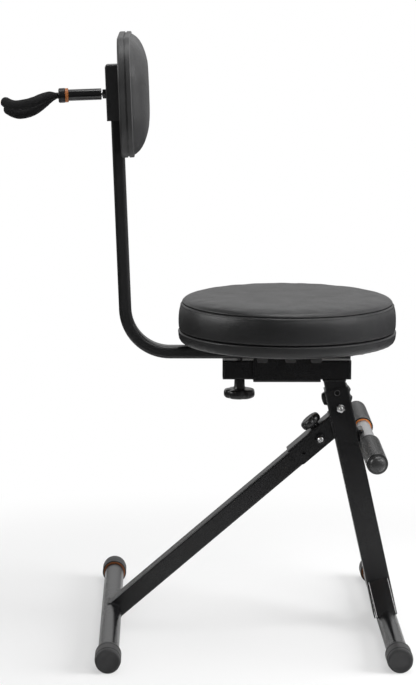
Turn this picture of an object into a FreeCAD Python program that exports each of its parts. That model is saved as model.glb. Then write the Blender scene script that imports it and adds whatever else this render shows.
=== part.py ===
# Guitar stool: a round seat on a folding pair of legs, with a sliding backrest and a guitar hanger.
# +X points to the front, where the footrest is, +Y to the sitter's left, +Z up. Millimetres.
import FreeCAD, Part
import math
import os
import Sketcher
from FreeCAD import Placement, Rotation, Vector

doc = FreeCAD.newDocument("guitar_stool")
sheet = doc.addObject("Spreadsheet::Sheet", "sizes")
xAxis, yAxis, zAxis = Vector(1, 0, 0), Vector(0, 1, 0), Vector(0, 0, 1)


class Size:
    # A length with its value and the cell expression that it comes from.
    def __init__(self, text, value):
        self.text = text
        self.value = value

    def __add__(self, other):
        other = asSize(other)
        return Size(f"({self.text} + {other.text})", self.value + other.value)

    def __radd__(self, other):
        return asSize(other) + self

    def __sub__(self, other):
        other = asSize(other)
        return Size(f"({self.text} - {other.text})", self.value - other.value)

    def __rsub__(self, other):
        return asSize(other) - self

    def __mul__(self, factor):
        return Size(f"({self.text} * ({factor:.6f}))", self.value * factor)

    def __truediv__(self, factor):
        return Size(f"({self.text} / ({factor:.6f}))", self.value / factor)

    def __neg__(self):
        return Size(f"(0 - {self.text})", -self.value)


def asSize(length):
    return length if isinstance(length, Size) else Size(f"({float(length):.6f})", float(length))


rowCount = 0


def cell(alias, value):
    global rowCount
    rowCount += 1
    sheet.set(f"A{rowCount}", alias)
    sheet.set(f"B{rowCount}", str(value))
    sheet.setAlias(f"B{rowCount}", alias)
    return Size("sizes." + alias, float(value))


# Stance: where the two foot bars stand, and the front leg's lean
originShift = cell("origin_shift", 69.159)
stanceHalf = cell("stance_half", 204.7)
barHeight = cell("bar_height", 18)
frontLeanDegrees = cell("front_lean", 12.8)
# Foot bars, their rubber caps and the rings in the caps' mouths
barRadius = cell("bar_radius", 14.8)
barWall = cell("bar_wall", 2)
barLength = cell("bar_length", 518)
capRadius = cell("cap_radius", 18.6)
capLength = cell("cap_length", 38)
capEnd = cell("cap_end", 4)
ringWidth = cell("ring_width", 1.9)
ringDepth = cell("ring_depth", 5)
fitGap = cell("fit_gap", 0.05)
# Front leg, the tube in its foot and the sliding neck
legSide = cell("leg_side", 35)
legWall = cell("leg_wall", 1.75)
legTop = cell("leg_top", 350)
legSkirt = cell("leg_skirt", 4)
footWindow = cell("foot_window", 53.3)
flapReach = cell("flap_reach", 64)
flapLeanDegrees = cell("flap_lean", 46.5)
stubTop = cell("stub_top", 111)
sleeveWall = cell("sleeve_wall", 1.65)
sleeveSide = legSide - legWall * 2 - fitGap * 2
stubSide = sleeveSide - sleeveWall * 2 - fitGap * 2
stubWall = cell("stub_wall", 2.5)
neckSide = cell("neck_side", 31)
neckWall = cell("neck_wall", 2)
neckFoot = cell("neck_foot", 151)
seatTravel = cell("seat_travel", 100)
stopRise = cell("stop_rise", 320.8)
stopRadius = cell("stop_radius", 3)
slotHalf = cell("slot_half", 3.3)
legKnobRise = cell("leg_knob_rise", 329)
sightRise = cell("sight_rise", 343.8)
sightRadius = cell("sight_radius", 3.6)
# Hinge between the legs, and the rear leg
pivotOffset = cell("pivot_offset", 39)
pivotRise = cell("pivot_rise", 282.6)
rearSide = cell("rear_side", 28)
rearWall = cell("rear_wall", 2)
bracketWall = cell("bracket_wall", 2.5)
bracketGap = cell("bracket_gap", 0.6)
bracketReach = cell("bracket_reach", 49)
lockHole = cell("lock_hole", 32.5)
hingeKnobAhead = cell("hinge_knob_ahead", 5)
hingeBoss = cell("hinge_boss", 1.2)
boltRadius = cell("bolt_radius", 4)
boltFlats = cell("bolt_flats", 13)
nutHeight = cell("nut_height", 6.5)
washerThick = cell("washer_thick", 1.5)
bushRadius = cell("bush_radius", 7)
# Footrest
restRise = cell("rest_rise", 267.9)
restRadius = cell("rest_radius", 11)
restHalf = cell("rest_half", 194)
gripRadius = cell("grip_radius", 15.4)
gripInner = cell("grip_inner", 64)
gripEnd = cell("grip_end", 205)
# Seat
seatX = cell("seat_x", 54.5)
beamFloor = cell("beam_floor", 372.6)
beamSide = cell("beam_side", 28)
beamWall = cell("beam_wall", 2)
beamLength = cell("beam_length", 189)
plugPlate = cell("plug_plate", 3)
saddleLength = cell("saddle_length", 99)
saddleWall = cell("saddle_wall", 3)
saddleFloor = cell("saddle_floor", 3.5)
plateFloor = cell("plate_floor", 51)
plateThick = cell("plate_thick", 4)
plateLength = cell("plate_length", 200)
plateWidth = cell("plate_width", 140)
seatRadius = cell("seat_radius", 160)
borderWidth = cell("border_width", 12)
boardRadius = seatRadius - borderWidth
boardThick = cell("board_thick", 18)
seamRise = cell("seam_rise", 40.3)
seamDraw = cell("seam_draw", 4.5)
seamRadius = seatRadius - seamDraw
crownRise = cell("crown_rise", 50)
linerLength = cell("liner_length", 25)
linerFloor = cell("liner_floor", 2.25)
# Backrest post and pad
postWide = cell("post_wide", 25)
postThick = cell("post_thick", 18)
postWall = cell("post_wall", 2)
postAhead = cell("post_ahead", 91)
postReach = cell("post_reach", 326.5)
postHeight = cell("post_height", 418.5)
postLeanDegrees = cell("post_lean", 2.28)
postBend = cell("post_bend", 66)
padRise = cell("pad_rise", 379.3)
padWidth = cell("pad_width", 300)
padHeight = cell("pad_height", 170)
padCorner = cell("pad_corner", 60)
shellBack = cell("shell_back", 6)
shellThick = cell("shell_thick", 16.6)
cushionThick = cell("cushion_thick", 24.3)
bracketBack = cell("bracket_back", 14.6)
hangerWall = cell("hanger_wall", 3)
bracketDrop = cell("bracket_drop", 38.5)
# Guitar hanger
armRadius = cell("arm_radius", 8.25)
armStart = cell("arm_start", 21.3)
armEnd = cell("arm_end", 69)
collarRadius = cell("collar_radius", 10.6)
collarEnd = cell("collar_end", 83.3)
yokeRollDegrees = cell("yoke_roll", 14.5)
yokeReach = cell("yoke_reach", 71)
yokeHalf = cell("yoke_half", 34)
coreRadius = cell("core_radius", 3)
foamRadius = cell("foam_radius", 7.75)
# Clamp knobs
knobRadius = cell("knob_radius", 23.2)
knobThick = cell("knob_thick", 13.5)
smallKnob = cell("small_knob", 16)
knobGap = cell("knob_gap", 0.3)
lobeCount = 5
doc.recompute()


def place(x, y, z, axis=zAxis, angle=0.0):
    def plain(length):
        return length.value if isinstance(length, Size) else float(length)
    return Placement(Vector(plain(x), plain(y), plain(z)), Rotation(axis, angle))


# Shared frames. In the leg frame Z runs up the front leg from the foot bar's axis.
floorFrame = place(originShift, 0, 0)
frontBar = floorFrame * place(stanceHalf, 0, barHeight)
rearBar = floorFrame * place(-stanceHalf, 0, barHeight)
legFrame = frontBar * place(0, 0, 0, yAxis, -frontLeanDegrees.value)
pivot = legFrame.multVec(Vector(-pivotOffset.value, 0, pivotRise.value))
rearRun = pivot - rearBar.Base
rearSlope = math.degrees(math.atan2(rearRun.z, rearRun.x))
rearLength = asSize(rearRun.Length)
# In the hinge frame X runs up the rear leg, with the pivot at the origin.
hingeFrame = Placement(pivot, Rotation(yAxis, -rearSlope))
seatFrame = floorFrame * place(seatX, 0, beamFloor)
postRise = plateFloor - linerFloor - postThick / 2 - 0.25
postFrame = seatFrame * place(postAhead, 0, postRise)
cornerFrame = postFrame * place(-postReach, 0, 0, yAxis, -postLeanDegrees.value)
# In the back frame Z runs up the post, X to the front; the origin is at the pad's middle.
backFrame = cornerFrame * place(0, 0, padRise)
yokeFrame = backFrame * place(-collarEnd - 3.8, 0, 0, xAxis, -yokeRollDegrees.value)


def bind(item, name, length):
    item.setExpression(name, asSize(length).text)


def newBody(label, frame):
    body = doc.addObject("PartDesign::Body", label)
    body.Label = label
    body.Placement = frame
    return body


def newSketch(body, role, lift=None):
    plane = next(f for f in body.Origin.OriginFeatures if f.Role == role)
    sketch = body.newObject("Sketcher::SketchObject", body.Label + "_sketch")
    sketch.AttachmentSupport = (plane, [""])
    sketch.MapMode = "FlatFace"
    if lift is not None:
        bind(sketch, "AttachmentOffset.Base.z", lift)
    return sketch


def pin(sketch, shape, end, x, y):
    for kind, length in (("DistanceX", asSize(x)), ("DistanceY", asSize(y))):
        number = sketch.addConstraint(Sketcher.Constraint(kind, -1, 1, shape, end, length.value))
        sketch.setExpression(f"Constraints[{number}]", length.text)


def outline(sketch, points, arcs=None, closed=True):
    # Straight runs from point to point; arcs gives a run's radius, and each arc turns to the left.
    arcs = arcs or {}
    spots = [Vector(asSize(x).value, asSize(y).value, 0) for x, y in points]
    runs = len(points) if closed else len(points) - 1
    ends = []
    for i in range(runs):
        start, finish = spots[i], spots[(i + 1) % len(spots)]
        if i not in arcs:
            shape = sketch.addGeometry(Part.LineSegment(start, finish))
            ends.append((shape, 1, 2))
            continue
        radius = asSize(arcs[i])
        chord = finish - start
        turn = 1 if radius.value > 0 else -1
        inward = Vector(-chord.y, chord.x, 0).normalize() * turn
        reach = math.sqrt(max(radius.value ** 2 - chord.Length ** 2 / 4, 0))
        centre = (start + finish) * 0.5 + inward * reach
        first, last = (start, finish) if turn > 0 else (finish, start)
        angles = [math.atan2(p.y - centre.y, p.x - centre.x) for p in (first, last)]
        circle = Part.Circle(centre, zAxis, abs(radius.value))
        shape = sketch.addGeometry(Part.ArcOfCircle(circle, angles[0], angles[1]))
        ends.append((shape, 1, 2) if turn > 0 else (shape, 2, 1))
    for i in range(runs):
        shape, first, last = ends[i]
        if closed or i + 1 < runs:
            follower = ends[(i + 1) % runs]
            sketch.addConstraint(Sketcher.Constraint("Coincident", shape, last, follower[0], follower[1]))
        pin(sketch, shape, first, *points[i])
        if i in arcs:
            radius = asSize(arcs[i])
            size = radius if radius.value > 0 else -radius
            number = sketch.addConstraint(Sketcher.Constraint("Radius", shape, size.value))
            sketch.setExpression(f"Constraints[{number}]", size.text)
    if not closed:
        pin(sketch, ends[-1][0], ends[-1][2], *points[-1])


def rectangle(sketch, x0, x1, y0, y1):
    outline(sketch, [(x0, y0), (x1, y0), (x1, y1), (x0, y1)])


def roundedRectangle(sketch, halfX, halfY, radius, centreY=0):
    halfX, halfY, radius, centreY = (asSize(v) for v in (halfX, halfY, radius, centreY))
    inX, inY = halfX - radius, halfY - radius
    points = [(halfX, centreY - inY), (halfX, centreY + inY), (inX, centreY + halfY),
              (-inX, centreY + halfY), (-halfX, centreY + inY), (-halfX, centreY - inY),
              (-inX, centreY - halfY), (inX, centreY - halfY)]
    outline(sketch, points, {1: radius, 3: radius, 5: radius, 7: radius})


def disc(sketch, x, y, radius):
    radius = asSize(radius)
    centre = Vector(asSize(x).value, asSize(y).value, 0)
    shape = sketch.addGeometry(Part.Circle(centre, zAxis, radius.value))
    pin(sketch, shape, 3, x, y)
    number = sketch.addConstraint(Sketcher.Constraint("Radius", shape, radius.value))
    sketch.setExpression(f"Constraints[{number}]", radius.text)


def pad(body, sketch, length, second=None, side="One side"):
    feature = body.newObject("PartDesign::Pad", body.Label + "_pad")
    feature.Profile = sketch
    bind(feature, "Length", length)
    if second is not None:
        side = "Two sides"
        bind(feature, "Length2", second)
    feature.SideType = side
    return feature


def bore(body, sketch):
    # A cut through everything, both ways from the sketch's plane.
    feature = body.newObject("PartDesign::Pocket", body.Label + "_bore")
    feature.Profile = sketch
    feature.Type = "ThroughAll"
    feature.SideType = "Symmetric"
    return feature


def holesAcross(body, role, holes):
    for x, y, radius in holes:
        sketch = newSketch(body, role)
        disc(sketch, x, y, radius)
        bore(body, sketch)


def pocket(body, sketch, depth, reverse=False):
    feature = body.newObject("PartDesign::Pocket", body.Label + "_pocket")
    feature.Profile = sketch
    bind(feature, "Length", depth)
    feature.Reversed = reverse
    return feature


def roundEdges(body, radius, chosen):
    doc.recompute()
    tip = body.Tip
    names = [f"Edge{i + 1}" for i, edge in enumerate(tip.Shape.Edges) if chosen(edge)]
    feature = body.newObject("PartDesign::Fillet", body.Label + "_round")
    feature.Base = (tip, names)
    bind(feature, "Radius", radius)
    return feature


def alongAxis(axis, shortest=0.0, where=None):
    # Picks straight edges that run along the axis, and whose middle passes the test.
    def chosen(edge):
        if edge.Curve.TypeId != "Part::GeomLine" or edge.Length < shortest:
            return False
        if abs(edge.Curve.Direction.dot(axis)) < 0.999:
            return False
        return where is None or where(edge.CenterOfMass)
    return chosen


def turned(label, frame, points, arcs=None):
    # A piece of revolution: points are radius and height about the frame's Z axis.
    body = newBody(label, frame)
    sketch = newSketch(body, "XZ_Plane")
    outline(sketch, points, arcs)
    feature = body.newObject("PartDesign::Revolution", label + "_turn")
    feature.Profile = sketch
    feature.ReferenceAxis = (sketch, ["V_Axis"])
    feature.Angle = 360
    return body


def collar(label, frame, inner, outer, low, high):
    return turned(label, frame, [(inner, low), (outer, low), (outer, high), (inner, high)])


def rod(label, frame, radius, low, high):
    return collar(label, frame, 0, radius, low, high)


def squareTube(label, frame, role, side, wall, first, second, rounding):
    body = newBody(label, frame)
    sketch = newSketch(body, role)
    roundedRectangle(sketch, asSize(side) / 2, asSize(side) / 2, rounding)
    rectangle(sketch, wall - side / 2, side / 2 - wall, wall - side / 2, side / 2 - wall)
    pad(body, sketch, first, second)
    return body


def block(label, frame, x0, x1, y0, y1, z0, z1):
    box = doc.addObject("Part::Box", label)
    box.Label = label
    bind(box, "Length", asSize(x1) - x0)
    bind(box, "Width", asSize(y1) - y0)
    bind(box, "Height", asSize(z1) - z0)
    box.Placement = frame * place(x0, y0, z0)
    return box


def cut(label, base, tool):
    feature = doc.addObject("Part::Cut", label)
    feature.Label = label
    base.Label = label + "_blank"
    feature.Base = base
    feature.Tool = tool
    return feature


def fuse(label, first, second):
    feature = doc.addObject("Part::Fuse", label)
    feature.Label = label
    feature.Base = first
    feature.Tool = second
    return feature


def group(label, members):
    feature = doc.addObject("Part::Compound", label)
    feature.Label = label
    feature.Links = members
    return feature


def hexPrism(label, frame, flats, low, high):
    prism = doc.addObject("Part::Prism", label)
    prism.Label = label
    prism.Polygon = 6
    bind(prism, "Circumradius", asSize(flats) / math.sqrt(3))
    bind(prism, "Height", asSize(high) - low)
    prism.Placement = frame * place(0, 0, low)
    return prism


def hexNut(label, frame, flats, inner, low, high):
    prism = hexPrism(label + "_prism", frame, flats, low, high)
    return cut(label, prism, rod(label + "_thread", frame, inner, asSize(low) - 1, asSize(high) + 1))


def hexBolt(label, frame, radius, flats, tail, seat, head):
    shank = rod(label + "_shank", frame, radius, tail, seat)
    return fuse(label, shank, hexPrism(label + "_head", frame, flats, seat, asSize(seat) + head))


nodes = []


def keep(node):
    nodes.append(node)
    return node


# Foot bars with rubber caps: Z of an end's frame points out of the bar, from the cap's mouth.
floorBlock = block("floor_block", floorFrame, -barLength, barLength, -barLength, barLength, -barLength, 0)
alongY = Rotation(xAxis, -90)
mouth = barLength / 2 + capEnd - capLength
lipRadius = barRadius + ringWidth + fitGap
for end, barFrame in (("front", frontBar), ("rear", rearBar)):
    across = barFrame * Placement(Vector(), alongY)
    keep(collar(f"{end}_foot_bar", across, barRadius - barWall, barRadius, -barLength / 2, barLength / 2))
    caps, rings = [], []
    for side in (1, -1):
        capFrame = barFrame * place(0, mouth * side, 0, xAxis, -90 * side)
        inside = capLength - capEnd
        waist, rim = capLength * 0.76, capLength - 1.6
        profile = [(0, inside), (barRadius + fitGap, inside), (barRadius + fitGap, ringDepth),
                   (lipRadius, ringDepth), (lipRadius, 0), (capRadius - 0.6, 0), (capRadius, 1.2),
                   (capRadius, waist), (capRadius - 0.8, waist + 0.8), (capRadius - 0.8, rim),
                   (capRadius - 2.4, capLength), (0, capLength)]
        blank = turned(f"{end}_cap{side}", capFrame, profile)
        caps.append(cut(f"{end}_cap_trim{side}", blank, floorBlock))
        rings.append(collar(f"{end}_ring{side}", capFrame, barRadius + fitGap, lipRadius - fitGap,
                            -0.4, ringDepth))
    keep(group(f"{end}_foot_caps", caps))
    keep(group(f"{end}_cap_rings", rings))

# Front leg: a square tube whose near and far walls are cut away over the foot, with a tube inside
frontLeg = squareTube("front_leg_tube", legFrame, "XY_Plane", legSide, legWall, legTop, legSkirt, 3)
sketch = newSketch(frontLeg, "XZ_Plane")
rectangle(sketch, legWall - legSide / 2, legSide / 2 - legWall, -legSkirt - 5, footWindow)
bore(frontLeg, sketch)
holesAcross(frontLeg, "XZ_Plane", [(0, 0, barRadius + fitGap)])
# The clamp screw's hole is in the far wall only, those of the stop screw and the sight in the near wall
for rise, radius, near in ((legKnobRise, boltRadius + 0.3, False), (sightRise, sightRadius, True),
                           (stopRise, stopRadius + 0.2, True)):
    wallSketch = newSketch(frontLeg, "XZ_Plane")
    disc(wallSketch, 0, rise, radius)
    pocket(frontLeg, wallSketch, legSide, near)
keep(frontLeg)
stub = squareTube("front_leg_stub", legFrame, "XY_Plane", stubSide, stubWall, stubTop, None, 3.5)
holesAcross(stub, "XZ_Plane", [(0, 0, barRadius + fitGap)])
keep(stub)
sleeveFrame = legFrame * place(0, 0, footWindow + 3)
sleeveRun = stubTop - footWindow - 3
keep(squareTube("foot_sleeve", sleeveFrame, "XY_Plane", sleeveSide, sleeveWall, sleeveRun, None, 1))

# Flaps of the near and far walls, bent outward over the foot and cut to the bar's round
flapSpace = rod("flap_space", frontBar * Placement(Vector(), alongY), barRadius + fitGap,
                -barLength / 2, barLength / 2)
foldSpace = block("fold_space", legFrame, -legSide, legSide, -legSide * 2, legSide * 2, footWindow, legTop)
flaps = []
for side in (1, -1):
    foldTurn = flapLeanDegrees.value * side
    foldFrame = legFrame * place(0, (legSide - legWall) / 2 * side, footWindow, xAxis, foldTurn)
    plate = block(f"flap_plate{side}", foldFrame, -sleeveSide / 2, sleeveSide / 2, -legWall / 2, legWall / 2,
                  -flapReach, legWall)
    flaps.append(cut(f"flap{side}", cut(f"flap_fold{side}", plate, foldSpace), flapSpace))
keep(group("foot_flaps", flaps))

# Neck: slides in the front leg and carries the seat; the stop screw runs in a slot in its near wall.
neck = squareTube("neck_blank", legFrame, "XY_Plane", neckSide, neckWall, beamFloor + 20, -neckFoot, 2.5)
slot = newSketch(neck, "XZ_Plane")
slotLow = stopRise - seatTravel
slotPoints = [(slotHalf, slotLow), (slotHalf, stopRise), (0, stopRise + slotHalf),
              (-slotHalf, stopRise), (-slotHalf, slotLow), (0, slotLow - slotHalf)]
outline(slot, slotPoints, {1: slotHalf, 2: slotHalf, 4: slotHalf, 5: slotHalf})
pocket(neck, slot, neckSide, True)
beamSpace = block("beam_space", seatFrame, -beamLength, beamLength, -beamSide * 2, beamSide * 2,
                  0, beamFloor / 2)
keep(cut("seat_neck", neck, beamSpace))

# Stop screw in a welded nut on the near wall, and the welded boss of the height clamp on the far one
stopFrame = legFrame * place(0, 0, stopRise, xAxis, 90)
stopSeat = legSide / 2
stopTip = neckSide / 2 - neckWall - 3
keep(rod("stop_screw", stopFrame, stopRadius, stopTip, stopSeat + 10))
keep(hexNut("stop_nut", stopFrame, 11, stopRadius + fitGap, stopSeat, stopSeat + 5))
legKnobFrame = legFrame * place(0, 0, legKnobRise, xAxis, -90)
legBossEnd = legSide / 2 + 7
keep(collar("leg_knob_boss", legKnobFrame, boltRadius + fitGap, 9, legSide / 2, legBossEnd))

# Hinge bracket: a channel, open downwards, welded to the rear face of the front leg
bracketInner = rearSide / 2 + bracketGap
bracketOuter = bracketInner + bracketWall
webTop = rearSide / 2 + bracketGap + bracketWall
bracket = newBody("hinge_bracket_blank", hingeFrame)
sketch = newSketch(bracket, "YZ_Plane")
outline(sketch, [(-bracketOuter, -rearSide / 2), (-bracketInner, -rearSide / 2),
                 (-bracketInner, bracketInner), (bracketInner, bracketInner),
                 (bracketInner, -rearSide / 2), (bracketOuter, -rearSide / 2),
                 (bracketOuter, webTop), (-bracketOuter, webTop)])
pad(bracket, sketch, pivotOffset * 2, bracketReach)
reach, drop, top = bracketReach.value, rearSide.value / 2, webTop.value
roundEdges(bracket, 3, alongAxis(xAxis, where=lambda p: abs(p.z - top) < 0.01))
roundEdges(bracket, 8, alongAxis(yAxis, where=lambda p: p.x < 1 - reach and p.z < 1 - drop))
holesAcross(bracket, "XZ_Plane", [(0, 0, boltRadius + 0.1), (-lockHole, 0, 2.6)])
sketch = newSketch(bracket, "XY_Plane")
disc(sketch, hingeKnobAhead, 0, boltRadius + 0.3)
bore(bracket, sketch)
legBlock = block("leg_block", legFrame, -legSide / 2, legTop / 2, -legTop / 2, legTop / 2, 0, legTop * 1.5)
keep(cut("hinge_bracket", bracket, legBlock))
hingeKnobFrame = hingeFrame * place(hingeKnobAhead, 0, 0)
keep(collar("hinge_knob_boss", hingeKnobFrame, boltRadius + fitGap, 7.5, webTop, webTop + hingeBoss))

# Hinge bolt with its washers and nut; the rear leg turns on it with a bush
boltFrame = hingeFrame * Placement(Vector(), alongY)
boltSeat = bracketOuter + washerThick
keep(hexBolt("hinge_bolt", boltFrame, boltRadius, boltFlats, -boltSeat - nutHeight - 2, boltSeat, 5.3))
keep(hexNut("hinge_nut", boltFrame, boltFlats, boltRadius + fitGap, -boltSeat - nutHeight, -boltSeat))
washers = [collar(f"hinge_washer{side}", boltFrame * place(0, 0, 0, xAxis, 90 - 90 * side),
                  boltRadius + 0.2, 8, bracketOuter, boltSeat) for side in (1, -1)]
keep(group("hinge_washers", washers))
rearLeg = newBody("rear_leg_tube", hingeFrame)
half = rearSide / 2
sketch = newSketch(rearLeg, "XZ_Plane")
outline(sketch, [(-rearLength, -half), (0, -half), (half, 0), (0, half), (-rearLength, half)],
        {1: half, 2: half})
pad(rearLeg, sketch, rearSide, side="Symmetric")
roundEdges(rearLeg, 3, alongAxis(xAxis, 100))
sketch = newSketch(rearLeg, "YZ_Plane")
rectangle(sketch, rearWall - half, half - rearWall, rearWall - half, half - rearWall)
bore(rearLeg, sketch)
holesAcross(rearLeg, "XZ_Plane", [(-rearLength, 0, barRadius + fitGap), (0, 0, bushRadius + fitGap)])
keep(rearLeg)
keep(collar("hinge_bush", boltFrame, boltRadius + fitGap, bushRadius, -half - 0.2, half + 0.2))

# Footrest: a cross bar in a cradle on the front leg, with ribbed rubber grips
restAhead = legSide / 2 + restRadius + 0.5
restFrame = legFrame * Placement(Vector(restAhead.value, 0, restRise.value), alongY)
cradleHalf = restRadius + 3
cradle = block("rest_cradle", legFrame, legSide / 2, legSide / 2 + restRadius * 0.8,
               -legSide / 2, legSide / 2, restRise - cradleHalf, restRise + cradleHalf)
barSpace = rod("rest_space", restFrame, restRadius + fitGap, -restHalf, restHalf)
keep(cut("footrest_cradle", cradle, barSpace))
keep(collar("footrest_bar", restFrame, restRadius - 2, restRadius, -restHalf, restHalf))
grips, gripRings = [], []
gripLip = restRadius + ringWidth + fitGap
for side in (1, -1):
    gripFrame = restFrame * place(0, 0, gripInner * side, xAxis, 90 - 90 * side)
    length = gripEnd - gripInner
    hollow = restHalf - gripInner
    profile = [(0, hollow), (restRadius + fitGap, hollow), (restRadius + fitGap, 4), (gripLip, 4),
               (gripLip, 0), (gripRadius, 0), (gripRadius, length - 8.5), (gripRadius * 0.76, length - 8),
               (gripRadius * 0.35, length - 0.9), (0, length)]
    grips.append(turned(f"grip{side}", gripFrame, profile, {7: 9}))
    gripRings.append(collar(f"grip_ring{side}", gripFrame, restRadius + fitGap, gripLip - fitGap, -0.4, 4))
keep(group("footrest_grips", grips))
keep(group("footrest_rings", gripRings))

# Seat beam under the seat, with a plug in each end, and the saddle that hangs from the seat plate
tubeLength = beamLength - plugPlate * 2
clampX = -beamLength / 2 + 25
beam = squareTube("seat_beam", seatFrame * place(0, 0, beamSide / 2), "YZ_Plane", beamSide, beamWall,
                  tubeLength / 2, tubeLength / 2, 2.5)
holesAcross(beam, "XY_Plane", [(clampX, 0, boltRadius + 0.3)])
keep(beam)
plugs = []
for side in (1, -1):
    turn = 90 - 90 * side
    plugFrame = seatFrame * place(tubeLength / 2 * side, 0, beamSide / 2, zAxis, turn)
    plug = newBody(f"plug{side}", plugFrame)
    sketch = newSketch(plug, "YZ_Plane")
    roundedRectangle(sketch, beamSide / 2, beamSide / 2, 2.5)
    pad(plug, sketch, plugPlate)
    inner = beamSide / 2 - beamWall - fitGap
    sketch = newSketch(plug, "YZ_Plane")
    roundedRectangle(sketch, inner, inner, 1)
    pad(plug, sketch, plugPlate / 2, 12)
    plugs.append(plug)
keep(group("beam_plugs", plugs))
saddleInner = beamSide / 2 + fitGap
saddleOuter = saddleInner + saddleWall
saddle = newBody("seat_saddle", seatFrame)
sketch = newSketch(saddle, "YZ_Plane")
outline(sketch, [(-saddleOuter, -saddleFloor), (saddleOuter, -saddleFloor), (saddleOuter, plateFloor),
                 (saddleInner, plateFloor), (saddleInner, 0), (-saddleInner, 0),
                 (-saddleInner, plateFloor), (-saddleOuter, plateFloor)])
pad(saddle, sketch, saddleLength, side="Symmetric")
floor = saddleFloor.value
roundEdges(saddle, 3, alongAxis(xAxis, where=lambda p: p.z < 0.01 - floor))
keep(saddle)
# Tabs of the seat plate, bent down over the saddle's walls
tabs = []
tabDrop, tabThick, tabHalf = 25, 2.4, 8
for share in (-0.37, 0.05, 0.43):
    for side in (1, -1):
        tabFrame = seatFrame * place(saddleLength * share, saddleOuter * side, 0, zAxis, 90 - 90 * side)
        tab = newBody(f"tab{len(tabs)}", tabFrame)
        tabSketch = newSketch(tab, "XZ_Plane")
        low = plateFloor - tabDrop
        outline(tabSketch, [(-tabHalf, low + 3), (3 - tabHalf, low), (tabHalf - 3, low), (tabHalf, low + 3),
                            (tabHalf, plateFloor), (-tabHalf, plateFloor)], {0: 3, 2: 3})
        pad(tab, tabSketch, tabThick).Reversed = True
        tabs.append(tab)
keep(group("plate_tabs", tabs))

# Liners in the saddle: plastic blocks in which the backrest post slides
liners = []
linerLow = beamSide
for side in (1, -1):
    middle = (saddleLength - linerLength) / 2 * side
    liner = newBody(f"liner{side}", seatFrame * place(middle, 0, 0))
    sketch = newSketch(liner, "YZ_Plane")
    rectangle(sketch, -beamSide / 2, beamSide / 2, linerLow, plateFloor)
    roundedRectangle(sketch, postWide / 2 + 0.15, postThick / 2 + 0.15, 5, postRise)
    pad(liner, sketch, linerLength, side="Symmetric")
    liners.append(liner)
keep(group("guide_liners", liners))
clampFrame = seatFrame * place(clampX, 0, 0)
keep(hexNut("clamp_nut", clampFrame, boltFlats, boltRadius + fitGap, beamWall, beamWall + nutHeight))

# Seat plate, wooden board with its padded border, and the cushion on top
screwSpots = [(sx * 0.42, sy * 0.39) for sx in (1, -1) for sy in (1, -1)]
plate = newBody("seat_plate", seatFrame * place(0, 0, plateFloor))
sketch = newSketch(plate, "XY_Plane")
roundedRectangle(sketch, plateLength / 2, plateWidth / 2, 20)
pad(plate, sketch, plateThick)
board = newBody("seat_board", seatFrame * place(0, 0, plateFloor + plateThick))
sketch = newSketch(board, "XY_Plane")
disc(sketch, 0, 0, boardRadius)
pad(board, sketch, boardThick)
seatScrews = []
screwGrip = 2.5
for shareX, shareY in screwSpots:
    spotX, spotY = plateLength * shareX, plateWidth * shareY
    holesAcross(plate, "XY_Plane", [(spotX, spotY, screwGrip + 0.2)])
    sketch = newSketch(board, "XY_Plane")
    disc(sketch, spotX, spotY, screwGrip + fitGap)
    pocket(board, sketch, boardThick * 0.7, True)
    screwFrame = seatFrame * place(spotX, spotY, plateFloor)
    seatScrews.append(turned(f"screw{len(seatScrews)}", screwFrame,
                             [(0, -3), (4, -3), (5.5, -1.5), (5.5, 0), (screwGrip, 0),
                              (screwGrip, plateThick + boardThick * 0.6),
                              (0, plateThick + boardThick * 0.65)]))
keep(plate)
keep(board)
keep(group("seat_screws", seatScrews))
borderFrame = seatFrame * place(0, 0, plateFloor + plateThick)
keep(turned("seat_border", borderFrame,
            [(boardRadius + fitGap, 0), (seatRadius - 7, 0), (seatRadius, 7),
             (seatRadius, boardThick - 3), (seatRadius - 2, boardThick),
             (boardRadius + fitGap, boardThick)], {1: 7.2, 3: 4}))
cushionFrame = borderFrame * place(0, 0, boardThick + 0.1)
shoulder = seamRadius - 11
keep(turned("seat_cushion", cushionFrame,
            [(0, 0), (seatRadius - 2, 0), (seamRadius, seamRise), (shoulder, crownRise - 1.2),
             (shoulder * 0.5, crownRise - 0.3), (0, crownRise)], {1: 82, 2: 12}))

# Backrest post: one bent tube from the saddle to the pad
lean = math.radians(postLeanDegrees.value)
tangent = postBend * math.tan((math.pi / 2 - lean) / 2)
post = newBody("backrest_post_blank", postFrame)
spine = newSketch(post, "XZ_Plane")
outline(spine, [(0, 0), (tangent - postReach, 0),
                (-postReach - tangent * math.sin(lean), tangent * math.cos(lean)),
                (-postReach - postHeight * math.sin(lean), postHeight * math.cos(lean))],
        {1: -postBend}, closed=False)
section = newSketch(post, "YZ_Plane")
roundedRectangle(section, postWide / 2, postThick / 2, 5)
roundedRectangle(section, postWide / 2 - postWall, postThick / 2 - postWall, 3)
doc.recompute()
pipe = post.newObject("PartDesign::AdditivePipe", "post_pipe")
pipe.Profile = section
pipe.Spine = (spine, [f"Edge{i + 1}" for i in range(len(spine.Shape.Edges))])
screwRise = 25
drills = [rod(f"back_drill{side}", backFrame * place(0, 0, screwRise * side, yAxis, 90), 2.6, -40, 14.2)
          for side in (1, -1)]
drillSet = group("back_drills", drills)
keep(cut("backrest_post", post, drillSet))
postPlug = newBody("post_plug", postFrame)
for inset, first, second in ((0, 2.5, None), (postWall + fitGap, 1, 14)):
    plugSketch = newSketch(postPlug, "YZ_Plane")
    roundedRectangle(plugSketch, postWide / 2 - inset, postThick / 2 - inset, 5 - asSize(inset))
    pad(postPlug, plugSketch, first, second)
keep(postPlug)

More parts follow.
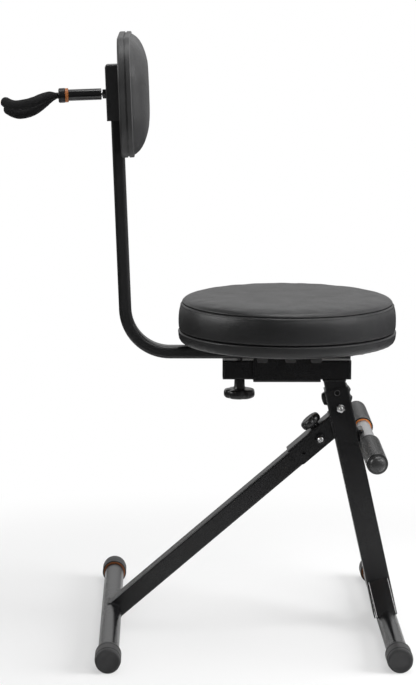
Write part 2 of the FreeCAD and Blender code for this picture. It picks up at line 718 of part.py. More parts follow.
# Bracket round the top of the post, open to the front, with a closed top
postTop = postHeight - padRise
hanger = newBody("post_bracket_blank", backFrame)
sideIn = postWide / 2 + 0.1
sideOut = sideIn + hangerWall
webIn = -postThick / 2 - 0.1
sketch = newSketch(hanger, "XY_Plane")
outline(sketch, [(-bracketBack, -sideOut), (shellBack, -sideOut), (shellBack, -sideIn), (webIn, -sideIn),
                 (webIn, sideIn), (shellBack, sideIn), (shellBack, sideOut), (-bracketBack, sideOut)])
pad(hanger, sketch, postTop + 3, bracketDrop)
sketch = newSketch(hanger, "XY_Plane", postTop + 0.2)
rectangle(sketch, -bracketBack, shellBack, -sideOut, sideOut)
pad(hanger, sketch, 2.8)
back = bracketBack.value
topRise = postTop.value + 2.5
roundEdges(hanger, 4, alongAxis(yAxis, where=lambda p: p.x < 0.01 - back and p.z > topRise))
roundEdges(hanger, 2, alongAxis(zAxis, 50, lambda p: p.x < 0.01 - back))
sketch = newSketch(hanger, "YZ_Plane")
disc(sketch, 0, 0, boltRadius + fitGap)
bore(hanger, sketch)
for side in (1, -1):
    sketch = newSketch(hanger, "YZ_Plane", -bracketBack)
    disc(sketch, 0, screwRise * side, 5 + 0.05)
    pocket(hanger, sketch, 3.05, True)
keep(cut("post_bracket", hanger, drillSet))
backScrews = [turned(f"back_screw{side}", backFrame * place(0, 0, screwRise * side, yAxis, 90),
                     [(0, -bracketBack), (5, -bracketBack), (5, -bracketBack + 3),
                      (2.5, -bracketBack + 3), (2.5, 13), (0, 14)]) for side in (1, -1)]
keep(group("back_screws", backScrews))

# Backrest shell with a channel for the post, and the cushion in front of it
shell = newBody("back_shell_blank", backFrame)
sketch = newSketch(shell, "YZ_Plane", shellBack)
roundedRectangle(sketch, padWidth / 2, padHeight / 2, padCorner)
pad(shell, sketch, shellThick)
low, high = shellBack.value, (shellBack + shellThick).value
roundEdges(shell, 3, lambda e: e.BoundBox.XLength < 0.01 and abs(e.CenterOfMass.x - low) < 0.01)
# Two ribs round the edge, with a groove between them
sketch = newSketch(shell, "YZ_Plane", shellBack + shellThick * 0.55)
roundedRectangle(sketch, padWidth / 2 + 5, padHeight / 2 + 5, padCorner + 5)
roundedRectangle(sketch, padWidth / 2 - 1.6, padHeight / 2 - 1.6, padCorner - 1.6)
pocket(shell, sketch, 2.4, True)
sketch = newSketch(shell, "YZ_Plane")
rectangle(sketch, -postWide / 2 - 0.4, postWide / 2 + 0.4, -padHeight, postTop + 0.1)
pocket(shell, sketch, postThick / 2 + 0.1, True)
keep(cut("back_shell", shell, drillSet))
cushion = newBody("back_cushion", backFrame)
cushionBack = shellBack + shellThick + 0.1
layers = []
for share, draw in ((0, 5), (0.3, 7.5), (0.62, 15), (0.86, 26), (1, 42)):
    sketch = newSketch(cushion, "YZ_Plane", cushionBack + cushionThick * share)
    draw = asSize(draw)
    roundedRectangle(sketch, padWidth / 2 - draw, padHeight / 2 - draw, padCorner - draw)
    layers.append(sketch)
loft = cushion.newObject("PartDesign::AdditiveLoft", "back_cushion_loft")
loft.Profile = layers[0]
loft.Sections = layers[1:]
keep(cushion)

# Hanger arm on a stud through the bracket: Z of the arm's frame points out to the rear
armFrame = backFrame * place(0, 0, 0, yAxis, -90)
keep(rod("hanger_stud", armFrame, boltRadius, postThick / 2 + 0.15, armStart + 11))
keep(hexNut("hanger_lock_nut", armFrame, boltFlats, boltRadius + fitGap, bracketBack, bracketBack + 5))
ringEnd = armEnd + 4.4
spigot = collarEnd - 2
keep(turned("hanger_arm", armFrame,
            [(0, armStart + 11), (boltRadius + fitGap, armStart + 11), (boltRadius + fitGap, armStart),
             (armRadius - 0.6, armStart), (armRadius, armStart + 0.6), (armRadius, armEnd),
             (boltRadius, armEnd), (boltRadius, spigot), (0, spigot)]))
keep(turned("hanger_ring", armFrame,
            [(boltRadius + fitGap, armEnd), (collarRadius - 1, armEnd), (collarRadius - 0.4, armEnd + 0.6),
             (collarRadius - 0.4, ringEnd), (boltRadius + fitGap, ringEnd)]))
keep(turned("hanger_collar", armFrame,
            [(0, spigot + 0.3), (boltRadius + fitGap, spigot + 0.3), (boltRadius + fitGap, ringEnd + 0.3),
             (collarRadius - 0.6, ringEnd + 0.3), (collarRadius, ringEnd + 0.9),
             (collarRadius, collarEnd - 1.2), (collarRadius - 1.2, collarEnd), (0, collarEnd)]))


def bentPath(points):
    # Straight runs joined by tangent arcs, each as large as its two runs allow.
    edges = []
    start = points[0]
    for before, corner, after in zip(points, points[1:], points[2:]):
        inRun, outRun = before - corner, after - corner
        reach = 0.45 * min(inRun.Length, outRun.Length)
        inRun.normalize()
        outRun.normalize()
        first, last = corner + inRun * reach, corner + outRun * reach
        middle = inRun + outRun
        half = math.pi / 2 - inRun.getAngle(outRun) / 2
        radius = reach / math.tan(half)
        depth = radius * (1 / math.cos(half) - 1)
        middle.normalize()
        edges.append(Part.LineSegment(start, first).toShape())
        edges.append(Part.Arc(first, corner + middle * depth, last).toShape())
        start = last
    edges.append(Part.LineSegment(start, points[-1]).toShape())
    return Part.Wire(edges)


def sweptRod(points, radius):
    path = bentPath(points)
    ring = Part.Wire(Part.makeCircle(radius, points[0], points[1] - points[0]))
    return path.makePipeShell([ring], True, False)


def yokeSpot(outward, across, rise, side):
    # A point of a prong: outward and across as shares of the yoke's reach and half width.
    return Vector(-yokeReach.value * outward, yokeHalf.value * across * side, rise)


# Yoke: a bent steel rod with two prongs, and a foam sleeve on each
prong = [(0.0, 0.0, 0.0), (0.2, 0.36, -3.5), (0.44, 0.86, -14.0), (0.7, 1.0, -19.0),
         (0.89, 0.93, -18.0), (1.0, 0.85, -12.5)]
core = Part.makeCylinder(4.5, 5.5, Vector(3.8, 0, 0), Vector(-1, 0, 0))
sleeve = None
for side in (1, -1):
    points = [yokeSpot(o, a, r, side) for o, a, r in prong]
    tip = points[-1] - points[-2]
    tip.normalize()
    core = core.fuse(sweptRod(points[:-1] + [points[-1] - tip * 2], coreRadius.value))
    run = points[1] - points[0]
    run.normalize()
    foam = sweptRod([run * 4] + points[1:], foamRadius.value)
    foam = foam.fuse(Part.makeSphere(foamRadius.value, points[-1]))
    sleeve = foam if sleeve is None else sleeve.fuse(foam)
for side in (1, -1):
    points = [yokeSpot(o, a, r, side) for o, a, r in prong]
    tip = points[-1] - points[-2]
    tip.normalize()
    sleeve = sleeve.cut(sweptRod(points[:-1] + [points[-1] - tip * 1.5], coreRadius.value + 0.05))
for label, shape in (("yoke_core", core.removeSplitter()), ("yoke_sleeve", sleeve.removeSplitter())):
    feature = doc.addObject("Part::Feature", label)
    feature.Label = label
    feature.Shape = shape
    feature.Placement = yokeFrame
    keep(feature)


def clampKnob(label, frame, radius, thick, hubRadius, hubLength):
    # A lobed knob: Z of the frame points out from the face that the hub stops short of.
    radius, thick = asSize(radius), asSize(thick)
    low = knobGap + hubLength
    body = turned(label, frame,
                  [(boltRadius + fitGap, knobGap), (hubRadius, knobGap), (hubRadius, low), (radius - 3, low),
                   (radius, low + 3), (radius, low + thick - 3), (radius - 3, low + thick),
                   (0, low + thick + 1), (0, low + thick - 3.9), (boltRadius + fitGap, low + thick - 3.9)],
                  {3: 3, 5: 3})
    sketch = newSketch(body, "XY_Plane")
    disc(sketch, radius * 1.13, 0, radius * 0.26)
    flute = bore(body, sketch)
    pattern = body.newObject("PartDesign::PolarPattern", label + "_flutes")
    pattern.Originals = [flute]
    pattern.Axis = (sketch, ["N_Axis"])
    pattern.Angle = 360
    pattern.Occurrences = lobeCount
    body.Tip = pattern
    keep(body)
    return low + thick - 4


outside = legFrame * Placement(Vector(0, legBossEnd.value, legKnobRise.value), alongY)
screwEnd = clampKnob("leg_knob", outside, knobRadius, knobThick, 8, 5)
keep(rod("leg_knob_screw", outside, boltRadius, neckSide / 2 + 0.3 - legBossEnd, screwEnd))
upward = hingeKnobFrame * place(0, 0, webTop + hingeBoss)
screwEnd = clampKnob("hinge_knob", upward, smallKnob, 13, 6, 1.2)
keep(rod("hinge_knob_screw", upward, boltRadius, -bracketWall - hingeBoss - 0.1, screwEnd))
downward = clampFrame * place(0, 0, 0, xAxis, 180)
screwEnd = clampKnob("backrest_knob", downward, knobRadius, knobThick, 7.75, 15.5)
keep(rod("backrest_knob_screw", downward, boltRadius, postThick / 2 + 0.3 - postRise, screwEnd))

doc.recompute()
failed = [item.Label for item in doc.Objects if "Invalid" in item.State or "Error" in item.State]
failed += [n.Label for n in nodes if n.Shape.isNull() or not n.Shape.isValid() or not n.Shape.Solids]
if failed:
    raise RuntimeError("not built: " + ", ".join(failed))
os.makedirs("parts", exist_ok=True)
for node in nodes:
    node.Shape.exportStep(f"parts/{node.Label}.step")
whole = Part.makeCompound([n.Shape for n in nodes]).BoundBox
print(len(nodes), "nodes, box", whole)
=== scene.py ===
# Guitar stool: upholstery, grips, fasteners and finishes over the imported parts
import bpy
import math
from mathutils import Matrix, Vector, noise


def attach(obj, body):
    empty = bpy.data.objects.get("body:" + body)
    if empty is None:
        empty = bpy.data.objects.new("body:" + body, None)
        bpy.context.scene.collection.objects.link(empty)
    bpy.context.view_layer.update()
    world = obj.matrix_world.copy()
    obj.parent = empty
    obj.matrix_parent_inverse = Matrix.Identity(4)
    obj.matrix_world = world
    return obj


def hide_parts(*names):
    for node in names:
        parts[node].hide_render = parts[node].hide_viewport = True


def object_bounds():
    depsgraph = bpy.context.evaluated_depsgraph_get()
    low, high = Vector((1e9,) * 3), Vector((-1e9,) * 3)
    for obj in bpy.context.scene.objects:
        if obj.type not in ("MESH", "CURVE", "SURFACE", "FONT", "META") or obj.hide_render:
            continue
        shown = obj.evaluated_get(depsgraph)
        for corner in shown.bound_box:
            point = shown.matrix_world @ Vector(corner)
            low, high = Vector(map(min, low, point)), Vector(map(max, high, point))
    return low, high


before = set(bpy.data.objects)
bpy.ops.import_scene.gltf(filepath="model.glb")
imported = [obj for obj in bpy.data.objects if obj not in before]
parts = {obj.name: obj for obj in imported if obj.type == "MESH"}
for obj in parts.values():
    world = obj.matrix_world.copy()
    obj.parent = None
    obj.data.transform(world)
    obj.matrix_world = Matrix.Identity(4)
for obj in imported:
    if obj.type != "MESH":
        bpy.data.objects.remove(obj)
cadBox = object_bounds()

# where the stool's main frames are: X and Z of a point in metres, a lean in degrees
stool = {"frontBar": (0.273859, 0.018), "frontLean": 12.8, "rearBar": (-0.135541, 0.018),
         "pivot": (0.173219, 0.284937), "rearSlope": 40.845, "seat": (0.123659, 0.3726),
         "pad": (-0.126931, 0.7911), "postLean": 2.28}


def tilted(spot, lean):
    return Matrix.Translation((spot[0], 0, spot[1])) @ Matrix.Rotation(math.radians(-lean), 4, "Y")


legFrame = tilted(stool["frontBar"], stool["frontLean"])   # Z runs up the front leg
hingeFrame = tilted(stool["pivot"], stool["rearSlope"])    # X runs up the rear leg
seatFrame = tilted(stool["seat"], 0)                       # under the middle of the seat beam
backFrame = tilted(stool["pad"], stool["postLean"])        # Z runs up the post, X to the front
alongY = Matrix.Rotation(math.radians(-90), 4, "X")        # lays Z along +Y
towardsNear = Matrix.Rotation(math.radians(90), 4, "X")    # lays Z along -Y
faceForward = Matrix(((0, 0, 1, 0), (1, 0, 0, 0), (0, 1, 0, 0), (0, 0, 0, 1)))  # Z to the front, X across


class Wire:
    # a shader socket that can be used in sums
    def __init__(self, socket):
        self.socket = socket
        self.tree = socket.id_data

    def node(self, kind, settings=None, sockets=None, out=0):
        made = self.tree.nodes.new(kind)
        for name, value in (settings or {}).items():
            if name == "stops":
                while len(made.color_ramp.elements) < len(value):
                    made.color_ramp.elements.new(0.5)
                for stop, (spot, shade) in zip(made.color_ramp.elements, value):
                    stop.position = spot
                    stop.color = (shade, shade, shade, 1)
            else:
                setattr(made, name, value)
        for key, value in (sockets or {}).items():
            if isinstance(value, Wire):
                self.tree.links.new(value.socket, made.inputs[key])
            else:
                made.inputs[key].default_value = value
        return Wire(made.outputs[out])

    def sum(self, operation, first, second):
        return self.node("ShaderNodeMath", {"operation": operation}, {0: first, 1: second})

    def __add__(self, other):
        return self.sum("ADD", self, other)

    def __radd__(self, other):
        return self.sum("ADD", other, self)

    def __sub__(self, other):
        return self.sum("SUBTRACT", self, other)

    def __rsub__(self, other):
        return self.sum("SUBTRACT", other, self)

    def __mul__(self, other):
        return self.sum("MULTIPLY", self, other)

    def __pow__(self, other):
        return self.sum("POWER", self, other)


# shader helpers
def newFinish(name, shade, roughness, metallic=0.0, specular=0.5):
    finish = bpy.data.materials.new(name)
    finish.use_nodes = True
    shader = finish.node_tree.nodes["Principled BSDF"]
    shader.inputs["Base Color"].default_value = (*shade, 1)
    shader.inputs["Roughness"].default_value = roughness
    shader.inputs["Metallic"].default_value = metallic
    shader.inputs["Specular IOR Level"].default_value = specular
    place = Wire(finish.node_tree.nodes.new("ShaderNodeTexCoord").outputs["Object"])
    return finish, shader, place


def feed(shader, socket, wire):
    shader.id_data.links.new(wire.socket, shader.inputs[socket])


def cloud(place, scale, detail=3.0, roughness=0.5, stretch=None):
    if stretch:
        place = place.node("ShaderNodeMapping", None, {"Vector": place, "Scale": stretch})
    return place.node("ShaderNodeTexNoise", None,
                      {"Vector": place, "Scale": scale, "Detail": detail, "Roughness": roughness})


def band(value, low, high, outLow=0.0, outHigh=1.0):
    return value.node("ShaderNodeMapRange", {"interpolation_type": "SMOOTHSTEP"},
                      {"Value": value, "From Min": low, "From Max": high, "To Min": outLow, "To Max": outHigh})


def tint(amount, dark, light):
    return amount.node("ShaderNodeMix", {"data_type": "RGBA"},
                       {0: amount, 6: (*dark, 1), 7: (*light, 1)}, 2)


def dent(shader, height, strength, depth):
    feed(shader, "Normal", height.node("ShaderNodeBump", None,
                                       {"Strength": strength, "Distance": depth, "Height": height}))


# camera, floor and light
photo = {"place": (-0.0586, -3.637, 1.039), "yaw": 1.04, "pitch": 9.57, "roll": 0.23, "lens": 131.68}
bpy.ops.object.camera_add(location=photo["place"])
camera = bpy.context.object
turn = Matrix.Rotation(math.radians(-photo["yaw"]), 3, "Z")
turn = turn @ Matrix.Rotation(math.radians(90 - photo["pitch"]), 3, "X")
turn = turn @ Matrix.Rotation(math.radians(photo["roll"]), 3, "Z")
camera.rotation_euler = turn.to_euler()
camera.data.lens = photo["lens"]
camera.data.clip_end = 100
scene = bpy.context.scene
scene.camera = camera
scene.view_settings.view_transform = "Standard"

# each lamp: name, place, size, watts, whether it lights surfaces, whether it shows as a glint
studio = {"floorSize": 8, "nearPaper": 0.86, "farPaper": 0.03, "paperReach": (0.45, 1.5), "floorGlow": 0.5,
          "glowReach": (0.35, 0.9), "surround": 0.32, "inFront": 0.13, "sideReach": (-0.6, 0.2),
          "wall": [(0.0, 0.3), (0.17, 0.62), (0.34, 1.0), (0.5, 0.85), (0.72, 0.25), (1.0, 0.15)],
          "aim": (0.05, 0, 0.4),
          "lamps": [("topSoft", (0.55, 0.35, 2.5), 1.7, 20, True, True),
                    ("rightFill", (2.3, -0.5, 1.0), 1.7, 95, True, False),
                    ("rightStrip", (2.1, -1.0, 1.7), 0.9, 22, False, True),
                    ("frontSoft", (1.1, -2.4, 2.2), 0.9, 16, True, True),
                    ("leftStrip", (-2.2, -0.3, 1.5), 1.0, 30, False, True),
                    ("edgeStrip", (0.1, -0.2, 2.6), 0.7, 12, False, True)]}
bpy.ops.mesh.primitive_plane_add(size=studio["floorSize"], location=(0, 0, cadBox[0].z))
floor = bpy.context.object
floor.name = "studio_floor"
sheetWhite, paper, place = newFinish("floor_paper", (0.8, 0.8, 0.8), 0.9, 0.0, 0.1)
rays = place.node("ShaderNodeLightPath")
glow = place.node("ShaderNodeEmission", None, {"Color": (1, 1, 1, 1), "Strength": 1.0})
spread = place.node("ShaderNodeVectorMath", {"operation": "LENGTH"}, {0: place}, 1)
fade = band(spread, *studio["glowReach"], studio["floorGlow"], 1.0)   # the paper goes white away from the stool
feed(paper, "Base Color", band(spread, *studio["paperReach"], studio["nearPaper"], studio["farPaper"]))
floorMix = place.node("ShaderNodeMixShader", None, {0: rays * fade, 1: Wire(paper.outputs[0]), 2: glow})
sheetWhite.node_tree.links.new(floorMix.socket, sheetWhite.node_tree.nodes["Material Output"].inputs[0])
floor.data.materials.append(sheetWhite)
world = bpy.data.worlds.new("white_studio")
scene.world = world
world.use_nodes = True
sky = world.node_tree.nodes["Background"]
path = world.node_tree.nodes.new("ShaderNodeLightPath")
seen, gloss, through = (Wire(path.outputs[ray])
                        for ray in ("Is Camera Ray", "Is Glossy Ray", "Is Transmission Ray"))
outward = seen.node("ShaderNodeTexCoord", None, None, 0)
toBack = seen.node("ShaderNodeSeparateXYZ", None, {0: outward}, 1)
toTop = seen.node("ShaderNodeSeparateXYZ", None, {0: outward}, 2)
wallRise = seen.node("ShaderNodeValToRGB", {"stops": studio["wall"]}, {0: toTop})   # brightest above the horizon
backWall = band(toBack, *studio["sideReach"], studio["inFront"], wallRise)
shown = seen.node("ShaderNodeMath", {"operation": "MAXIMUM"}, {0: seen, 1: through})
strength = shown + (1 - shown) * (gloss * backWall + (1 - gloss) * studio["surround"])
world.node_tree.links.new(strength.socket, sky.inputs["Strength"])
sky.inputs["Color"].default_value = (1, 1, 1, 1)
for name, spot, size, power, fills, glints in studio["lamps"]:
    bpy.ops.object.light_add(type="AREA", location=spot)
    lamp = bpy.context.object
    lamp.name = name
    lamp.data.size = size
    lamp.data.energy = power
    lamp.visible_diffuse = fills
    lamp.visible_glossy = glints
    lamp.rotation_euler = (Vector(studio["aim"]) - Vector(spot)).to_track_quat("-Z", "Y").to_euler()
print("studio set")


# finishes
def powderCoat(name, shade, roughness, specular):
    finish, shader, place = newFinish(name, shade, roughness, 0.0, specular)
    peel = cloud(place, 1100, 2.0)
    patch = cloud(place, 14, 4.0)
    scuff = band(cloud(place, 60, 5.0, 0.7, (1, 1, 6)), 0.66, 0.78)
    lift = tuple(v * 2.1 + 0.004 for v in shade)
    feed(shader, "Base Color", tint(scuff * 0.12 + band(patch, 0.4, 0.75) * 0.2, shade, lift))
    feed(shader, "Roughness", roughness + (patch - 0.5) * 0.12 + (peel - 0.5) * 0.08)
    dent(shader, peel, 0.08, 0.0004)
    return finish


satinBlack = powderCoat("satin_black", (0.0065, 0.0065, 0.007), 0.26, 0.34)
# lighter copies of the satin black for the post bracket and the post: painted light
litBracketBlack = powderCoat("bracket_black_painted_light", (0.04, 0.04, 0.041), 0.34, 0.4)
litPostBlack = powderCoat("post_black_painted_light", (0.015, 0.015, 0.0155), 0.3, 0.36)
glossBlack = powderCoat("gloss_black", (0.004, 0.004, 0.0045), 0.12, 0.8)


def mouldedRubber(name, shade, roughness):
    finish, shader, place = newFinish(name, shade, roughness, 0.0, 0.35)
    grit = cloud(place, 1500, 2.0)
    patch = cloud(place, 35, 4.0)
    dust = tuple(v * 1.9 + 0.006 for v in shade)
    feed(shader, "Base Color", tint(band(patch, 0.42, 0.72) * 0.5 + grit * 0.15, shade, dust))
    feed(shader, "Roughness", roughness + (patch - 0.5) * 0.16)
    dent(shader, grit, 0.3, 0.0003)
    return finish


capRubber = mouldedRubber("cap_rubber", (0.018, 0.018, 0.0185), 0.5)
gripRubber = mouldedRubber("grip_rubber", (0.016, 0.016, 0.0165), 0.3)


def dyedBand(name, dark, light):
    finish, shader, place = newFinish(name, dark, 0.42)
    feed(shader, "Base Color", tint(cloud(place, 90, 3.0), dark, light))
    feed(shader, "Roughness", 0.36 + cloud(place, 220) * 0.14)
    return finish


orangeBand = dyedBand("orange_band", (0.5, 0.13, 0.022), (0.72, 0.25, 0.06))
# the same orange, darkened for the foot-cap rings: painted shade
shadedOrangeBand = dyedBand("orange_band_painted_shade", (0.17, 0.05, 0.012), (0.27, 0.085, 0.02))

zincPlate, shader, place = newFinish("zinc_plate", (0.72, 0.72, 0.73), 0.25, 1.0)
brushed = cloud(place, 420, 3.0, 0.6, (1, 0.15, 1))
feed(shader, "Base Color", tint(cloud(place, 160, 3.0), (0.58, 0.58, 0.59), (0.82, 0.82, 0.82)))
feed(shader, "Roughness", 0.16 + brushed * 0.22)
dent(shader, brushed, 0.12, 0.0002)


def dullPlate(name, dark, light, metallic):
    finish, shader, place = newFinish(name, dark, 0.4, metallic)
    feed(shader, "Base Color", tint(cloud(place, 120, 3.0), dark, light))
    feed(shader, "Roughness", 0.3 + cloud(place, 260) * 0.14)
    return finish


greyPlate = dullPlate("grey_plate", (0.035, 0.035, 0.0355), (0.055, 0.055, 0.056), 0.2)
footrestPlate = dullPlate("footrest_plate", (0.42, 0.42, 0.425), (0.55, 0.55, 0.555), 0.85)


def mouldedPlastic(name, shade, roughness, grain):
    finish, shader, place = newFinish(name, shade, roughness, 0.0, 0.45)
    pebble = place.node("ShaderNodeTexVoronoi", {"feature": "SMOOTH_F1"},
                        {"Vector": place, "Scale": grain, "Smoothness": 0.6})
    patch = cloud(place, 24, 4.0)
    feed(shader, "Base Color", tint(band(patch, 0.4, 0.8) * 0.5, shade, tuple(v * 1.7 + 0.003 for v in shade)))
    feed(shader, "Roughness", roughness + (patch - 0.5) * 0.12 + (pebble - 0.4) * 0.1)
    dent(shader, pebble, 0.16, 0.0003)
    return finish


knobPlastic = mouldedPlastic("knob_plastic", (0.010, 0.010, 0.0105), 0.27, 1400)
shellPlastic = mouldedPlastic("shell_plastic", (0.036, 0.036, 0.0365), 0.46, 1100)


def grainedVinyl(name, shade, roughness, wearAndKnurlShade):
    finish, shader, place = newFinish(name, shade, roughness, 0.0, 0.42)
    drift = place.node("ShaderNodeVectorMath", {"operation": "MULTIPLY_ADD"},
                       {0: place.node("ShaderNodeTexNoise", None, {"Vector": place, "Scale": 240.0}, 1),
                        1: (0.0012, 0.0012, 0.0012), 2: place})
    cells, pores = (place.node("ShaderNodeTexVoronoi", {"feature": "DISTANCE_TO_EDGE"},
                               {"Vector": drift, "Scale": scale}) for scale in (620.0, 1500.0))
    creases = band(cells, 0.0, 0.22)
    grain = creases * 0.7 + band(pores, 0.0, 0.25) * 0.3
    patch = cloud(place, 9, 4.0)
    rubbed = band(patch, 0.35, 0.75)
    light = tuple(v * wearAndKnurlShade for v in shade)
    feed(shader, "Base Color", tint(rubbed * 0.6 + creases * 0.3, shade, light))
    feed(shader, "Roughness", roughness + 0.07 - grain * 0.12 + (cloud(place, 30, 3.0) - 0.5) * 0.14)
    dent(shader, grain + cloud(place, 45, 3.0) * 1.4, 0.3, 0.0003)
    return finish


seatVinyl = grainedVinyl("seat_vinyl", (0.012, 0.012, 0.0125), 0.36, 1.6)
# the backrest's vinyl is the seat's vinyl drawn almost twice as light: painted light
litBackVinyl = grainedVinyl("back_vinyl_painted_light", (0.022, 0.022, 0.0225), 0.42, 1.5)
# lighter than the cover vinyl so the piping shows as a bright line: painted highlight
pipingHighlightVinyl = grainedVinyl("piping_vinyl_painted_highlight", (0.05, 0.05, 0.051), 0.42, 1.3)
# near-black, for cords and lines that stand in for the shade in seam gaps and folds: painted shade
seamShade = newFinish("seam_painted_shade", (0.0015, 0.0015, 0.0015), 0.8, 0.0, 0.1)[0]

thread, shader, place = newFinish("seam_thread", (0.012, 0.012, 0.013), 0.7)
twist = place.node("ShaderNodeTexWave", {"wave_type": "BANDS", "bands_direction": "DIAGONAL"},
                   {"Vector": place, "Scale": 900.0})
feed(shader, "Base Color", tint(twist, (0.007, 0.007, 0.0075), (0.03, 0.03, 0.031)))

softFoam, shader, place = newFinish("soft_foam", (0.011, 0.011, 0.0115), 0.85, 0.0, 0.25)
bubbles = place.node("ShaderNodeTexVoronoi", {"feature": "F1"}, {"Vector": place, "Scale": 1300.0})
feed(shader, "Base Color", tint(bubbles * 0.8 + cloud(place, 60) * 0.3,
                                (0.006, 0.006, 0.0065), (0.022, 0.022, 0.023)))
feed(shader, "Roughness", 0.78 + cloud(place, 80) * 0.18)
dent(shader, bubbles + cloud(place, 140, 3.0), 0.35, 0.0005)

birchPly, shader, place = newFinish("birch_ply", (0.55, 0.4, 0.24), 0.62)
figure = cloud(place, 22, 5.0, 0.6, (0.5, 9, 9))
pith = band(cloud(place, 160, 3.0, 0.6, (0.25, 6, 6)), 0.55, 0.72)
feed(shader, "Base Color", tint(figure * 0.8 + pith * 0.3, (0.62, 0.46, 0.29), (0.36, 0.22, 0.11)))
feed(shader, "Roughness", 0.52 + figure * 0.2)
dent(shader, figure + pith, 0.2, 0.0004)

cadFinish = {
    satinBlack: ["front_foot_bar", "rear_foot_bar", "front_leg_tube", "front_leg_stub", "foot_sleeve",
                 "seat_neck", "leg_knob_boss", "hinge_bracket", "hinge_knob_boss", "rear_leg_tube",
                 "footrest_cradle", "seat_beam", "seat_saddle", "hanger_lock_nut", "hinge_washers",
                 "foot_flaps", "yoke_core"],
    greyPlate: ["plate_tabs", "seat_plate"],
    footrestPlate: ["footrest_bar"],
    litBracketBlack: ["post_bracket"],
    litPostBlack: ["backrest_post"],
    glossBlack: ["hanger_arm"],
    capRubber: ["front_foot_caps", "rear_foot_caps"],
    gripRubber: ["footrest_grips"],
    orangeBand: ["footrest_rings", "hanger_ring"],
    shadedOrangeBand: ["front_cap_rings", "rear_cap_rings"],
    zincPlate: ["stop_screw", "stop_nut", "hinge_bolt", "hinge_nut", "clamp_nut", "seat_screws", "back_screws",
                "hanger_stud", "leg_knob_screw", "hinge_knob_screw", "backrest_knob_screw"],
    knobPlastic: ["leg_knob", "hinge_knob", "backrest_knob", "hinge_bush", "guide_liners", "beam_plugs",
                  "post_plug", "hanger_collar"],
    shellPlastic: ["back_shell"],
    seatVinyl: ["seat_border", "seat_cushion"],
    litBackVinyl: ["back_cushion"],
    softFoam: ["yoke_sleeve"],
    birchPly: ["seat_board"],
}
for finish, names in cadFinish.items():
    for name in names:
        parts[name].data.materials.clear()
        parts[name].data.materials.append(finish)
print("finishes made")


# modelling helpers
def leaveEdit():
    bpy.ops.object.mode_set(mode="OBJECT")


def clearPick():
    if bpy.context.object and bpy.context.object.mode != "OBJECT":
        leaveEdit()
    bpy.ops.object.select_all(action="DESELECT")


def pickOnly(piece):
    clearPick()
    piece.select_set(True)
    bpy.context.view_layer.objects.active = piece


def freeze():
    bpy.ops.object.transform_apply(location=True, rotation=True, scale=True)


def editAll():
    bpy.ops.object.mode_set(mode="EDIT")
    bpy.ops.mesh.select_all(action="SELECT")


def applyAll(piece):
    pickOnly(piece)
    for modifier in [m.name for m in piece.modifiers]:
        bpy.ops.object.modifier_apply(modifier=modifier)


def settle(piece, spot):
    # moves a finished piece into place and keeps the place in its mesh
    pickOnly(piece)
    piece.matrix_world = spot @ piece.matrix_world
    freeze()


def joined(name, pieces):
    clearPick()
    for piece in pieces:
        piece.select_set(True)
    bpy.context.view_layer.objects.active = pieces[0]
    bpy.ops.object.join()
    pieces[0].name = name
    return pieces[0]


def smooth(piece, angle=35):
    pickOnly(piece)
    bpy.ops.object.shade_smooth_by_angle(angle=math.radians(angle))


def fit(piece, body, slotName, finish, *replaced):
    piece.data.materials.clear()
    piece.data.materials.append(finish)
    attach(piece, body)
    if replaced:
        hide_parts(*replaced)


def ringStack(name, rings, steps, start=True, end=True):
    # a round piece on Z: a circle pushed up from ring to ring, each a radius and a height
    clearPick()
    radius, height = rings[0]
    bpy.ops.mesh.primitive_circle_add(vertices=steps, radius=radius, location=(0, 0, height),
                                      fill_type="NGON" if start else "NOTHING")
    piece = bpy.context.object
    piece.name = name
    bpy.ops.object.mode_set(mode="EDIT")
    bpy.ops.mesh.select_mode(type="EDGE")
    bpy.ops.mesh.select_all(action="SELECT")
    for (fromRadius, fromHeight), (toRadius, toHeight) in zip(rings, rings[1:]):
        bpy.ops.mesh.extrude_edges_move(TRANSFORM_OT_translate={"value": (0, 0, toHeight - fromHeight)})
        grow = toRadius / fromRadius
        bpy.ops.transform.resize(value=(grow, grow, 1), center_override=(0, 0, toHeight))
    if end:
        bpy.ops.mesh.edge_face_add()
    bpy.ops.mesh.select_all(action="SELECT")
    bpy.ops.mesh.normals_make_consistent(inside=False)
    leaveEdit()
    freeze()
    return piece


def copiedRound(count):
    # copies one small piece round Z and leaves edit mode
    bpy.ops.mesh.select_all(action="SELECT")
    bpy.ops.mesh.spin(steps=count, dupli=True, angle=math.tau, center=(0, 0, 0), axis=(0, 0, 1))
    bpy.ops.mesh.select_all(action="SELECT")
    bpy.ops.mesh.remove_doubles(threshold=0.000005)
    leaveEdit()


fillLook = {"frames": 20, "bending": 0.6, "relax": 0.5, "passes": 3}


def plump(piece, look, holds):
    # the filling presses the skin out between the places that are held
    pickOnly(piece)
    start = [v.co.copy() for v in piece.data.vertices]
    pins = piece.vertex_groups.new(name="held")
    pins.add([i for i, co in enumerate(start) if holds(co)], 1.0, "REPLACE")
    cloth = piece.modifiers.new("filling", "CLOTH")
    cloth.settings.use_pressure = True
    cloth.settings.uniform_pressure_force = look["pressure"]
    cloth.settings.effector_weights.gravity = 0
    cloth.settings.vertex_group_mass = "held"
    cloth.settings.tension_stiffness = look["stiffness"]
    cloth.settings.compression_stiffness = look["stiffness"]
    cloth.settings.bending_stiffness = fillLook["bending"]
    for step in range(1, fillLook["frames"] + 1):
        scene.frame_set(step)
    applyAll(piece)
    scene.frame_set(1)
    piece.vertex_groups.clear()
    for vertex, before in zip(piece.data.vertices, start):
        move = vertex.co - before
        if move.length > look["cap"]:
            vertex.co = before + move * (look["cap"] / move.length)
    relax = piece.modifiers.new("relax", "SMOOTH")
    relax.factor = fillLook["relax"]
    relax.iterations = fillLook["passes"]
    fine = piece.modifiers.new("fine", "SUBSURF")
    fine.levels = fine.render_levels = 1
    applyAll(piece)


